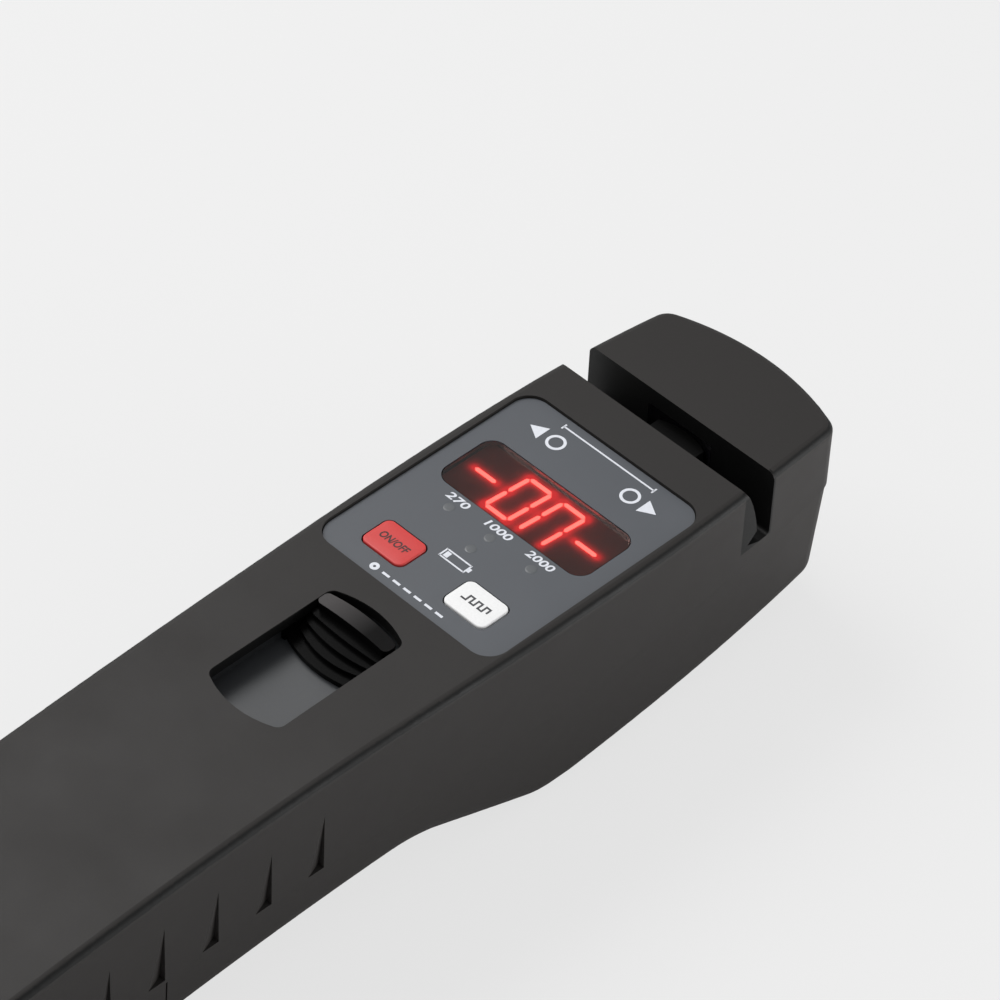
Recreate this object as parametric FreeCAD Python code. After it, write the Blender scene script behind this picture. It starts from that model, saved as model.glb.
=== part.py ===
import FreeCAD, Part
import math
import os

# Hand-held live-fibre identifier with a built-in visual fault locator, in millimetres.
# Frame: +Z up, +Y toward the head, +X to the right of someone looking at the display with the head up.
# Origin: centre of the bounding box, on the plane that the belly and the heel rest on.
# A station is a distance from the head's tip toward the tail. A height is measured from the rest plane.

# ---- casing -------------------------------------------------------------------------------------
LENGTH = 210.0
DECK_HEIGHT = 39.0
WALL = 2.0
SHELL_SEAM_GAP = 0.15

BODY_WIDTH = 42.6             # at the widest station, beside the display
WIDEST_STATION = 56.0
HEAD_NARROWING = 2.5          # half-width lost from the widest station to the head's corners
GRIP_STATION = 110.0
GRIP_NARROWING = 1.2
HANDLE_STATION = 150.0
HANDLE_NARROWING = 1.8
TAIL_NARROWING = 2.2
HEAD_BULGE = 4.2              # how far the head's front arc stands beyond its corners
TAIL_BULGE = 2.6
HEAD_CORNER_R = 3.5
TAIL_CORNER_R = 5.0
LOWER_CORNER_GROWTH = 2.5     # the belly's corners are softer than the deck's
BELLY_DRAFT_INSET = 1.3       # how far the sides lean in from the seam to the rest plane
TOP_EDGE_R = 1.5
BOTTOM_EDGE_R = 4.2

HEAD_FALL_STATION = 34.0      # ahead of it the deck falls away gently
HEAD_FALL_R = 560.0
TAIL_FALL_STATION = 97.5      # behind it the handle arches down
TAIL_FALL_R = 760.0
CHIN_HEIGHT = 5.6             # underside at the head's tip
BELLY_START_STATION = 62.0    # the flat that the belly rests on
BELLY_FLAT = 7.0
BELLY_REAR_R = 16.0
WAIST_STATION = 95.5          # where the belly has risen into the handle
WAIST_HEIGHT = 9.9
WAIST_R = 26.0
HANDLE_UNDERSIDE_STATION = 140.0
HANDLE_UNDERSIDE_HEIGHT = 7.6
HEEL_LENGTH = 8.0
HEEL_R = 12.0

SEAM_HEIGHT = 19.7            # the parting line where the handle begins
SEAM_STATION = 82.5
SEAM_HEAD_RISE = 7.0          # how far it climbs from there to the tip
SEAM_HANDLE_FALL = 1.6        # how far it drops from there to the battery door
DOOR_STATION = 145.5
TAIL_SLOPE = 0.09             # slope of the door's seam, of the cells and of the laser

# ---- grip pockets -------------------------------------------------------------------------------
GRIP_COUNT = 7
GRIP_FIRST_STATION = 115.3
GRIP_PITCH = 10.3
GRIP_HEIGHT = 11.5
GRIP_DEPTH = 1.2
GRIP_FOOT = 3.4
GRIP_ABOVE_SEAM = 0.7
GRIP_CUTTER_REACH = 1.4       # how far the facet's cutter runs past the side, as a share

# ---- fibre slot and its clamp -------------------------------------------------------------------
SLOT_FRONT_STATION = 20.0
SLOT_MOUTH = 6.5
SLOT_THROAT = 3.3
SLOT_DEPTH = 12.9
SLOT_THROAT_DEPTH = 10.0      # where the lip ends and the hook begins
SLOT_HOOK_REACH = 2.1
SLOT_HOOK_RISE = 1.1
SLOT_CORNER_R = 0.8
SLOT_BLOCK_WALL = 2.2
SLOT_LIP_REACH = 0.62         # where the lip's curve passes, as shares of the lip's run and depth
SLOT_LIP_DROP = 0.47
ANVIL_WIDTH = 10.0
ANVIL_HEIGHT = 5.6
ANVIL_NOSE_R = 12.0
GUIDE_CLEARANCE = 0.3
CLAMP_GAP = 0.35              # anvil nose to detector face, room for a coated fibre
SLIDER_TRAVEL = 7.0

# ---- detector -----------------------------------------------------------------------------------
DETECTOR_WIDTH = 13.6
DETECTOR_HEIGHT = 8.4
DETECTOR_LENGTH = 6.0
DETECTOR_FACE_R = 13.0
DIODE_R = 2.3
DIODE_LENGTH = 4.0
DIODE_SPACING = 7.6
DETECTOR_BOARD_WIDTH = 28.0
DETECTOR_BOARD_HEIGHT = 9.6
DETECTOR_RISE = 0.9           # detector's foot above the slot's floor
DETECTOR_FLANGE = 1.0
DETECTOR_CLEARANCE = 0.1
BOARD_RAIL_LENGTH = 5.0
BOARD_RAIL_HOLD = 1.2         # how far each rail's groove takes in the detector board's edge

# ---- control panel ------------------------------------------------------------------------------
PANEL_CENTRE_STATION = 58.0
PANEL_WIDTH = 38.2
PANEL_LENGTH = 46.8
PANEL_CORNER_R = 3.7
PANEL_THICKNESS = 0.4
PANEL_SINK = 0.5              # label top below the deck
PANEL_CLEARANCE = 0.15
DISPLAY_STATION = 52.4
DISPLAY_WIDTH = 31.5
DISPLAY_DEPTH = 12.5
DISPLAY_CORNER_R = 2.6
LENS_THICKNESS = 1.3
LENS_SINK = 0.1
MODULE_WIDTH = 30.2
MODULE_DEPTH = 14.0
DIGIT_COUNT = 4
DIGIT_PITCH = 7.3
DIGIT_HEIGHT = 8.9
DIGIT_WIDTH = 4.3
DIGIT_SLANT_DEG = 8.0
SEGMENT_WIDTH = 1.0
SEGMENT_THICKNESS = 0.12
SEGMENT_GAP = 0.12

KEY_WIDTH = 8.8
KEY_DEPTH = 6.4
KEY_CORNER_R = 1.3
KEY_SPACING = 17.8            # centre to centre
KEY_STATION = 73.9
KEY_PROUD = 0.7               # key top above the label
KEY_FLANGE = 0.9
KEY_FLANGE_THICKNESS = 1.1
KEY_EDGE = 0.4                # chamfer round the cap
KEY_TRAVEL = 0.5
KEY_CLEARANCE = 0.25
KEY_STEM_R = 1.8
SWITCH_SIZE = 6.0
SWITCH_HEIGHT = 3.5
SWITCH_BUTTON_R = 1.7
SWITCH_BUTTON_HEIGHT = 0.8

DIRECTION_LAMP_SPACING = 16.2
DIRECTION_LAMP_STATION = 39.85
DIRECTION_LAMP_R = 1.45
TONE_LAMP_SPACING = 9.0
TONE_LAMP_STATION = 62.3
SMALL_LAMP_R = 0.9
LOW_BATTERY_LAMP_STATION = 66.1
LAMP_CLEARANCE = 0.15

BOARD_THICKNESS = 1.6
BOARD_DROP = 9.4              # board top below the deck
BOARD_FRONT_STATION = 34.6
BOARD_REAR_STATION = 84.0
BOARD_WIDTH = 35.0
BOARD_NOTCH_MARGIN = 0.5
POST_R = 2.2
POST_INSET = 3.2

# ---- thumb slider and its well ------------------------------------------------------------------
WINDOW_WIDTH = 15.8
WINDOW_FRONT_STATION = 86.2
WINDOW_LENGTH = 28.8
WINDOW_BULGE = 1.9            # both ends of the window are arcs
WINDOW_CORNER_R = 1.6
TRAY_FLOOR_DROP = 4.8         # well floor below the deck
TRAY_WALL = 1.2
TRAY_MARGIN = 1.2             # how far the well runs under the deck all round
SLIDER_FRONT_GAP = 2.0
SLIDER_LENGTH = 10.4
SLIDER_SIDE_GAP = 0.35
SLIDER_PROUD = 0.3            # crest above the deck
SLIDER_CREST = 3.0            # length of the crest band
SLIDER_NOSE_BULGE = 0.9       # the crest's front is a flatter arc than the window's
SLIDER_CORNER_R = 0.9
SLIDER_RIB_COUNT = 3
SLIDER_RIB_PITCH = 1.85
SLIDER_RIB_RISE = 0.8
SLIDER_RIB_STRAIGHTENING = 0.4    # each higher rib loses this share of the lowest one's bulge
SLIDER_TOE = 0.4              # foot left bare ahead of the crest
SLIDER_BASE_THICKNESS = 0.9
SLIDER_RAIL_LENGTH = 8.0      # rails on the foot that run under the deck
SLIDER_RAIL_WIDTH = 0.8
SLIDER_RAIL_SETBACK = 1.2
SLIDER_FLOAT = 0.2
LINK_WIDTH = 6.4
LINK_THICKNESS = 2.0
LINK_LEG = 2.6
LINK_LEG_INSET = 1.0          # leg narrower than the anvil on each side
LINK_DROP = 13.2              # link top below the deck
LINK_POST = 2.5
LINK_POST_WIDTH = 3.2
LINK_POST_SETBACK = 0.4       # from the slider's nose to the post
SPRING_OUTER_R = 2.7
SPRING_WIRE_R = 0.3
SPRING_TURNS = 6
SPRING_LENGTH = 18.0
SPRING_DROP = 3.4             # spring axis below the link
SPRING_STOP_THICKNESS = 2.4
SPRING_PIN_R = 1.7
SPRING_PIN_LENGTH = 6.5
SPRING_STOP_MARGIN = 1.2      # stop's face beyond the coil on each side
WIRE_SIDES = 6                # flats on a spring's wire

# ---- battery, laser and screws ------------------------------------------------------------------
CELL_R = 7.1
CELL_LENGTH = 50.0
CELL_SPACING = 14.8
CELL_AXIS_DROP = 1.2          # cell axes below the door's seam
CELL_FRONT = 3.0              # from the door's front edge to the cells
CRADLE_WALL = 1.2
CONTACT_THICKNESS = 0.5
CONTACT_ROOM = 0.2
CELL_SPRING_LENGTH = 2.4
CELL_SPRING_TURNS = 3
CELL_SPRING_R = 3.0
CELL_CAP_R = 2.7
CELL_CAP_HEIGHT = 1.2
CONTACT_WIDTH = 8.0
CRADLE_WIDTH = 31.2
CRADLE_HEIGHT = 13.4
CRADLE_RIB_LENGTH = 3.0
CRADLE_RIB_INSET = 6.0
CRADLE_RIB_REACH = 2.5        # how far each rib runs over the cradle's top
SEAT = 0.1                    # how far pieces that rest on each other stand apart
LASER_R = 4.0
LASER_RISE = 12.0             # laser axis above the door's seam
LASER_FRONT = 12.0
LASER_LENGTH = 33.0
PORT_R = 3.3
PORT_BORE_R = 1.26            # takes a 2.5 mm ferrule
PORT_BORE_DEPTH = 12.0
PORT_RECESS = 0.4
CLIP_LENGTH = 4.0
CLIP_WALL = 1.4
DOOR_GAP = 0.3
DOOR_TRAVEL = 12.0
BULKHEAD = 1.6

SCREW_HEAD_STATION = 13.6
SCREW_HEAD_SPACING = 28.0
SCREW_HANDLE_STATION = 126.0
SCREW_HANDLE_SPACING = 28.0
SCREW_R = 1.15
SCREW_HEAD_R = 2.6
SCREW_HEAD_HEIGHT = 2.0
SCREW_GRIP = 4.0              # plastic under the screw's head
SCREW_BITE = 7.0
BOSS_R = 3.1
BOSS_LOWER_R = 4.1
PILOT_CLEARANCE = 0.05
SHANK_CLEARANCE = 0.35
COUNTERBORE_CLEARANCE = 0.3
DRIVE_WIDTH = 0.7
DRIVE_LENGTH = 3.2
DRIVE_DEPTH = 1.1

# ---- values that follow -------------------------------------------------------------------------
HALF_LENGTH = LENGTH / 2
HALF_WIDTH = BODY_WIDTH / 2
REACH = BODY_WIDTH            # half length of any cutter that must run past the sides
MARGIN = 2.0                  # how far cutters run past the faces that they cut
INNER_DECK = DECK_HEIGHT - WALL
LABEL_TOP = DECK_HEIGHT - PANEL_SINK
LABEL_BOTTOM = LABEL_TOP - PANEL_THICKNESS
BOARD_TOP = DECK_HEIGHT - BOARD_DROP
BOARD_BOTTOM = BOARD_TOP - BOARD_THICKNESS
LENS_TOP = LABEL_TOP - LENS_SINK
LENS_BOTTOM = LENS_TOP - LENS_THICKNESS
MODULE_TOP = LENS_BOTTOM - SEGMENT_THICKNESS - SEAT
WELL_FLOOR = DECK_HEIGHT - TRAY_FLOOR_DROP
SLOT_FLOOR = DECK_HEIGHT - SLOT_DEPTH
SLOT_REAR_STATION = SLOT_FRONT_STATION + SLOT_MOUTH
SLOT_BLOCK_FRONT = SLOT_FRONT_STATION - SLOT_BLOCK_WALL
SLOT_BLOCK_REAR = SLOT_REAR_STATION + SLOT_BLOCK_WALL
ANVIL_BOTTOM = SLOT_FLOOR + SLOT_HOOK_RISE
ANVIL_TOP = ANVIL_BOTTOM + ANVIL_HEIGHT
LINK_TOP = DECK_HEIGHT - LINK_DROP
LINK_BOTTOM = LINK_TOP - LINK_THICKNESS
SPRING_AXIS = LINK_BOTTOM - SPRING_DROP
TAIL_ANGLE = math.degrees(math.atan(TAIL_SLOPE))
DETECTOR_BOTTOM = SLOT_FLOOR + DETECTOR_RISE
DETECTOR_TOP = DETECTOR_BOTTOM + DETECTOR_HEIGHT
DETECTOR_REAR = SLOT_FRONT_STATION
DETECTOR_FRONT = SLOT_FRONT_STATION - DETECTOR_LENGTH
DETECTOR_SAG = DETECTOR_FACE_R - math.sqrt(DETECTOR_FACE_R ** 2 - DETECTOR_WIDTH ** 2 / 4)
DIODE_FRONT = DETECTOR_FRONT - DIODE_LENGTH
DETECTOR_BOARD_FRONT = DIODE_FRONT - BOARD_THICKNESS
ANVIL_NOSE = SLOT_FRONT_STATION - DETECTOR_SAG + CLAMP_GAP
ANVIL_BACK = SLOT_BLOCK_REAR + GUIDE_CLEARANCE + SEAT
LEG_REAR = ANVIL_BACK + LINK_LEG
SPRING_FRONT = LEG_REAR + SEAT
SPRING_REAR = SPRING_FRONT + SPRING_LENGTH
SPRING_STOP_FRONT = SPRING_REAR + SEAT
WINDOW_REAR_STATION = WINDOW_FRONT_STATION + WINDOW_LENGTH
SLIDER_FRONT = WINDOW_FRONT_STATION + SLIDER_FRONT_GAP
SLIDER_REAR = SLIDER_FRONT + SLIDER_LENGTH
SLIDER_BOTTOM = WELL_FLOOR + SLIDER_FLOAT
LINK_POST_FRONT = SLIDER_FRONT + LINK_POST_SETBACK
LINK_POST_REAR = LINK_POST_FRONT + LINK_POST
PANEL_FRONT = PANEL_CENTRE_STATION - PANEL_LENGTH / 2
PANEL_REAR = PANEL_CENTRE_STATION + PANEL_LENGTH / 2
DISPLAY_FRONT = DISPLAY_STATION - DISPLAY_DEPTH / 2
DISPLAY_REAR = DISPLAY_STATION + DISPLAY_DEPTH / 2
DOOR_SEAM = SEAM_HEIGHT - SEAM_HANDLE_FALL
CELL_START = DOOR_STATION + CELL_FRONT
CELL_END = CELL_START + CELL_LENGTH
CELL_AXIS = DOOR_SEAM - CELL_AXIS_DROP
CRADLE_FRONT = CELL_START - CONTACT_ROOM - CONTACT_THICKNESS - CRADLE_WALL
REAR_CONTACT = CELL_END + CELL_SPRING_LENGTH
CRADLE_REAR = REAR_CONTACT + CONTACT_THICKNESS + CRADLE_WALL
CRADLE_CEILING = CELL_AXIS + CELL_R + SEAT
CRADLE_TOP = CRADLE_CEILING + CRADLE_WALL
LASER_AXIS = DOOR_SEAM + LASER_RISE
LASER_START = DOOR_STATION + LASER_FRONT
LASER_END = LASER_START + LASER_LENGTH
PORT_END = DOOR_STATION + (LENGTH - DOOR_STATION - LASER_RISE * TAIL_SLOPE) - PORT_RECESS
SCREWS = (
    (SCREW_HEAD_SPACING / 2, SCREW_HEAD_STATION),
    (-SCREW_HEAD_SPACING / 2, SCREW_HEAD_STATION),
    (SCREW_HANDLE_SPACING / 2, SCREW_HANDLE_STATION),
    (-SCREW_HANDLE_SPACING / 2, SCREW_HANDLE_STATION),
)


def y_at(station):
    return HALF_LENGTH - station


def vec(x, station, height):
    return FreeCAD.Vector(x, y_at(station), height)


def line(a, b):
    return Part.LineSegment(a, b).toShape()


def arc(a, b, c):
    return Part.Arc(a, b, c).toShape()


def box(x0, x1, front, rear, bottom, top):
    """A block between two stations, with its front nearer the head."""
    corner = FreeCAD.Vector(x0, y_at(rear), bottom)
    return Part.makeBox(x1 - x0, rear - front, top - bottom, corner)


def slab(width, front, rear, bottom, top):
    return box(-width / 2, width / 2, front, rear, bottom, top)


def post(x, station, radius, bottom, top):
    return Part.makeCylinder(radius, top - bottom, vec(x, station, bottom))


def rod_along_y(x, front, rear, height, radius):
    return Part.makeCylinder(radius, rear - front, vec(x, rear, height), FreeCAD.Vector(0, 1, 0))


def is_upright(edge):
    a = edge.Vertexes[0].Point
    b = edge.Vertexes[-1].Point
    return math.hypot(a.x - b.x, a.y - b.y) < 1e-6 and abs(a.z - b.z) > 1e-6


def runs_across(edge):
    a = edge.Vertexes[0].Point
    b = edge.Vertexes[-1].Point
    return math.hypot(a.y - b.y, a.z - b.z) < 1e-6 and isinstance(edge.Curve, Part.Line)


def rounded_slab(width, front, rear, bottom, top, radius):
    plate = slab(width, front, rear, bottom, top)
    return plate.makeFillet(radius, [e for e in plate.Edges if is_upright(e)])


def fuse(shapes):
    result = shapes[0].fuse(shapes[1:]) if len(shapes) > 1 else shapes[0]
    return result.removeSplitter()


def extrude_across(edges):
    """A prism across the whole width from a closed outline drawn in the side view."""
    face = Part.Face(Part.Wire(Part.__sortEdges__(edges)))
    face.translate(FreeCAD.Vector(-REACH, 0, 0))
    return face.extrude(FreeCAD.Vector(2 * REACH, 0, 0))


# ---- outer form ---------------------------------------------------------------------------------
def plan_prism(inset, growth, bottom, top):
    """The plan outline, drawn in by an inset, as an upright prism with rounded corners."""
    head_x = HALF_WIDTH - HEAD_NARROWING - inset
    tail_x = HALF_WIDTH - TAIL_NARROWING - inset
    head_station = HEAD_BULGE + inset
    tail_station = LENGTH - TAIL_BULGE - inset
    side = (
        (head_x, head_station),
        (HALF_WIDTH - inset, WIDEST_STATION),
        (HALF_WIDTH - GRIP_NARROWING - inset, GRIP_STATION),
        (HALF_WIDTH - HANDLE_NARROWING - inset, HANDLE_STATION),
        (tail_x, tail_station),
    )
    edges = []
    for sign in (1, -1):
        curve = Part.BSplineCurve()
        curve.interpolate([vec(sign * x, station, bottom) for x, station in side])
        edges.append(curve.toShape())
    edges.append(arc(vec(-head_x, head_station, bottom), vec(0, inset, bottom),
                     vec(head_x, head_station, bottom)))
    edges.append(arc(vec(-tail_x, tail_station, bottom), vec(0, LENGTH - inset, bottom),
                     vec(tail_x, tail_station, bottom)))
    face = Part.Face(Part.Wire(Part.__sortEdges__(edges)))
    prism = face.extrude(FreeCAD.Vector(0, 0, top - bottom))
    upright = [e for e in prism.Edges if is_upright(e)]
    at_head = [e for e in upright if e.Vertexes[0].Point.y > 0]
    at_tail = [e for e in upright if e.Vertexes[0].Point.y < 0]
    prism = prism.makeFillet(HEAD_CORNER_R + growth - inset / 2, at_head)
    at_tail = [e for e in prism.Edges if is_upright(e) and e.Vertexes[0].Point.y < 0]
    return prism.makeFillet(TAIL_CORNER_R + growth - inset / 2, at_tail)


def plan_wire(inset, growth, height):
    prism = plan_prism(inset, growth, height, height + 1.0)
    floor = min(prism.Faces, key=lambda f: f.CenterOfMass.z)
    return floor.OuterWire


def drafted_prism(inset):
    """The lower half's plan: its sides lean in toward the rest plane and its corners soften."""
    top = SEAM_HEIGHT + SEAM_HEAD_RISE + MARGIN
    wires = [
        plan_wire(inset + BELLY_DRAFT_INSET, LOWER_CORNER_GROWTH, -MARGIN),
        plan_wire(inset, 0.0, top),
    ]
    return Part.makeLoft(wires, True, True)


def fall(distance, radius):
    return radius - math.sqrt(radius * radius - distance * distance)


def side_prism():
    """The side profile: gently arched deck, chin, belly flat, waist, handle and heel."""
    front = -MARGIN
    rear = LENGTH + MARGIN
    head_top = DECK_HEIGHT - fall(HEAD_FALL_STATION - front, HEAD_FALL_R)
    head_mid = (HEAD_FALL_STATION + front) / 2
    tail_top = DECK_HEIGHT - fall(rear - TAIL_FALL_STATION, TAIL_FALL_R)
    tail_mid = (TAIL_FALL_STATION + rear) / 2
    heel = LENGTH - HEEL_LENGTH
    belly_end = BELLY_START_STATION + BELLY_FLAT
    chin = CHIN_HEIGHT * (1 - front / BELLY_START_STATION)
    edges = [
        arc(vec(0, front, head_top),
            vec(0, head_mid, DECK_HEIGHT - fall(HEAD_FALL_STATION - head_mid, HEAD_FALL_R)),
            vec(0, HEAD_FALL_STATION, DECK_HEIGHT)),
        line(vec(0, HEAD_FALL_STATION, DECK_HEIGHT), vec(0, TAIL_FALL_STATION, DECK_HEIGHT)),
        arc(vec(0, TAIL_FALL_STATION, DECK_HEIGHT),
            vec(0, tail_mid, DECK_HEIGHT - fall(tail_mid - TAIL_FALL_STATION, TAIL_FALL_R)),
            vec(0, rear, tail_top)),
        line(vec(0, rear, tail_top), vec(0, rear, 0)),
        line(vec(0, rear, 0), vec(0, heel, 0)),
        arc(vec(0, heel, 0), vec(0, HANDLE_UNDERSIDE_STATION, HANDLE_UNDERSIDE_HEIGHT),
            vec(0, WAIST_STATION, WAIST_HEIGHT)),
        line(vec(0, WAIST_STATION, WAIST_HEIGHT), vec(0, belly_end, 0)),
        line(vec(0, belly_end, 0), vec(0, BELLY_START_STATION, 0)),
        line(vec(0, BELLY_START_STATION, 0), vec(0, front, chin)),
        line(vec(0, front, chin), vec(0, front, head_top)),
    ]
    prism = extrude_across(edges)
    bends = (
        (belly_end, BELLY_REAR_R),
        (WAIST_STATION, WAIST_R),
        (heel, HEEL_R),
    )
    for station, radius in bends:
        bend = [e for e in prism.Edges if runs_across(e)
                and abs(e.Vertexes[0].Point.y - y_at(station)) < 1e-4
                and e.Vertexes[0].Point.z < SEAM_HEIGHT]
        prism = prism.makeFillet(radius, bend)
    return prism


def seam_height(station):
    """Height of the parting line: it climbs toward the head and is straight along the door."""
    if station < SEAM_STATION:
        return SEAM_HEIGHT + SEAM_HEAD_RISE * ((SEAM_STATION - station) / SEAM_STATION) ** 2
    door = SEAM_HEIGHT - SEAM_HANDLE_FALL
    if station < DOOR_STATION:
        share = (station - SEAM_STATION) / (DOOR_STATION - SEAM_STATION)
        return SEAM_HEIGHT - SEAM_HANDLE_FALL * share ** 2
    return door - TAIL_SLOPE * (station - DOOR_STATION)


def seam_zone(offset, height):
    """Everything between the parting line, moved by an offset, and a level height."""
    front = -MARGIN
    rear = LENGTH + MARGIN
    knots = 12
    step = (DOOR_STATION - front) / knots
    stations = [front + step * i for i in range(knots + 1)]
    curve = Part.BSplineCurve()
    curve.interpolate([vec(0, s, seam_height(s) + offset) for s in stations])
    bend = vec(0, DOOR_STATION, seam_height(DOOR_STATION) + offset)
    end = vec(0, rear, seam_height(rear) + offset)
    edges = [
        curve.toShape(),
        line(bend, end),
        line(end, vec(0, rear, height)),
        line(vec(0, rear, height), vec(0, front, height)),
        line(vec(0, front, height), vec(0, front, seam_height(front) + offset)),
    ]
    return extrude_across(edges)


def rim_edges(shape, low, high):
    """Curved edges that lie wholly between two heights and aren't joins across the body."""
    chosen = []
    for edge in shape.Edges:
        if isinstance(edge.Curve, Part.Line):
            continue
        if all(low < v.Point.z < high for v in edge.Vertexes):
            chosen.append(edge)
    return chosen


def shifted(shape, dz):
    copy = shape.copy()
    copy.translate(FreeCAD.Vector(0, 0, dz))
    return copy


def upper_outer(profile):
    block = profile.common(plan_prism(0.0, 0.0, -MARGIN, DECK_HEIGHT + MARGIN))
    block = block.makeFillet(TOP_EDGE_R, rim_edges(block, SEAM_HEIGHT, DECK_HEIGHT + MARGIN))
    return block.common(seam_zone(0.0, DECK_HEIGHT + MARGIN))


def lower_outer(profile):
    block = profile.common(drafted_prism(0.0))
    block = block.makeFillet(BOTTOM_EDGE_R, rim_edges(block, -MARGIN, WAIST_HEIGHT + MARGIN))
    return block.common(seam_zone(-SHELL_SEAM_GAP, -MARGIN))


def cavity(profile, plan):
    """The hollow inside a wall of constant thickness."""
    return shifted(profile, -WALL).common(shifted(profile, WALL)).common(plan)


def tilt(shape):
    """Turn a piece drawn level at the door's front edge onto the slope of the handle's tail."""
    copy = shape.copy()
    copy.rotate(vec(0, DOOR_STATION, DOOR_SEAM), FreeCAD.Vector(1, 0, 0), TAIL_ANGLE)
    return copy


def arched_slab(width, front, rear, bottom, top, radius, bulges=(WINDOW_BULGE, WINDOW_BULGE)):
    """A plate with straight sides, ends that bulge as arcs and rounded corners."""
    x = width / 2
    front_corner = front + bulges[0]
    rear_corner = rear - bulges[1]
    edges = [
        arc(vec(-x, front_corner, bottom), vec(0, front, bottom), vec(x, front_corner, bottom)),
        line(vec(x, front_corner, bottom), vec(x, rear_corner, bottom)),
        arc(vec(x, rear_corner, bottom), vec(0, rear, bottom), vec(-x, rear_corner, bottom)),
        line(vec(-x, rear_corner, bottom), vec(-x, front_corner, bottom)),
    ]
    face = Part.Face(Part.Wire(edges))
    plate = face.extrude(FreeCAD.Vector(0, 0, top - bottom))
    return plate.makeFillet(radius, [e for e in plate.Edges if is_upright(e)])


def well_slab(margin, bottom, top):
    return arched_slab(WINDOW_WIDTH + 2 * margin, WINDOW_FRONT_STATION - margin,
                       WINDOW_REAR_STATION + margin, bottom, top, WINDOW_CORNER_R + margin)


def display_slab(margin, bottom, top):
    return rounded_slab(DISPLAY_WIDTH + 2 * margin, DISPLAY_FRONT - margin, DISPLAY_REAR + margin,
                        bottom, top, DISPLAY_CORNER_R + margin)


def panel_slab(margin, bottom, top):
    return rounded_slab(PANEL_WIDTH + 2 * margin, PANEL_FRONT - margin, PANEL_REAR + margin,
                        bottom, top, PANEL_CORNER_R + margin)


def key_slab(side, margin, bottom, top):
    slab_at_centre = rounded_slab(KEY_WIDTH + 2 * margin, KEY_STATION - KEY_DEPTH / 2 - margin,
                                  KEY_STATION + KEY_DEPTH / 2 + margin, bottom, top,
                                  KEY_CORNER_R + margin)
    slab_at_centre.translate(FreeCAD.Vector(side * KEY_SPACING / 2, 0, 0))
    return slab_at_centre


def lamp_places():
    """Direction lamps, tone lamps and the low-battery lamp, as (x, station)."""
    direction = [(side * DIRECTION_LAMP_SPACING / 2, DIRECTION_LAMP_STATION) for side in (-1, 1)]
    tone = [(side * TONE_LAMP_SPACING, TONE_LAMP_STATION) for side in (-1, 0, 1)]
    return direction, tone, [(0.0, LOW_BATTERY_LAMP_STATION)]


def half_width(station):
    """Side of the handle at a station, between the stations that shape it."""
    knots = (
        (WIDEST_STATION, HALF_WIDTH),
        (GRIP_STATION, HALF_WIDTH - GRIP_NARROWING),
        (HANDLE_STATION, HALF_WIDTH - HANDLE_NARROWING),
        (LENGTH - TAIL_BULGE, HALF_WIDTH - TAIL_NARROWING),
    )
    for (s0, x0), (s1, x1) in zip(knots, knots[1:]):
        if station <= s1:
            return x0 + (x1 - x0) * (station - s0) / (s1 - s0)
    return knots[-1][1]


# ---- casing -------------------------------------------------------------------------------------
def slot_cutter():
    """The fibre slot across the head: a rounded lip, a narrow throat and a hook that runs back."""
    above = DECK_HEIGHT + MARGIN
    rear = SLOT_REAR_STATION
    front = SLOT_FRONT_STATION
    throat = front + SLOT_THROAT
    throat_height = DECK_HEIGHT - SLOT_THROAT_DEPTH
    lip = vec(0, rear - SLOT_LIP_REACH * (rear - throat),
              DECK_HEIGHT - SLOT_LIP_DROP * SLOT_THROAT_DEPTH)
    tip = vec(0, throat + SLOT_HOOK_REACH, SLOT_FLOOR + SLOT_HOOK_RISE)
    foot = vec(0, throat - SLOT_CORNER_R, SLOT_FLOOR)
    edges = [
        line(vec(0, front, above), vec(0, rear, above)),
        line(vec(0, rear, above), vec(0, rear, DECK_HEIGHT)),
        arc(vec(0, rear, DECK_HEIGHT), lip, vec(0, throat, throat_height)),
        line(vec(0, throat, throat_height), tip),
        line(tip, foot),
        line(foot, vec(0, front, SLOT_FLOOR)),
        line(vec(0, front, SLOT_FLOOR), vec(0, front, above)),
    ]
    prism = extrude_across(edges)
    corner = [e for e in prism.Edges if runs_across(e)
              and abs(e.Vertexes[0].Point.y - y_at(front)) < 1e-4
              and abs(e.Vertexes[0].Point.z - SLOT_FLOOR) < 1e-4]
    return prism.makeFillet(SLOT_CORNER_R, corner)


def grip_wedge(side, station):
    """One finger pocket: a facet that sinks toward its lower corner nearest the head."""
    x = half_width(station)
    bottom = seam_height(station) + GRIP_ABOVE_SEAM
    deep = vec(side * (x - GRIP_DEPTH), station, bottom)
    others = [
        vec(side * x, station, bottom),
        vec(side * x, station, bottom + GRIP_HEIGHT),
        vec(side * x, station + GRIP_FOOT, bottom),
    ]
    a, b, c = [deep + (point - deep) * GRIP_CUTTER_REACH for point in others]
    faces = [Part.Face(Part.makePolygon([p, q, r, p]))
             for p, q, r in ((deep, a, b), (deep, b, c), (deep, c, a), (a, c, b))]
    wedge = Part.makeSolid(Part.makeShell(faces))
    if wedge.Volume < 0:
        wedge.reverse()
    return wedge


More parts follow.
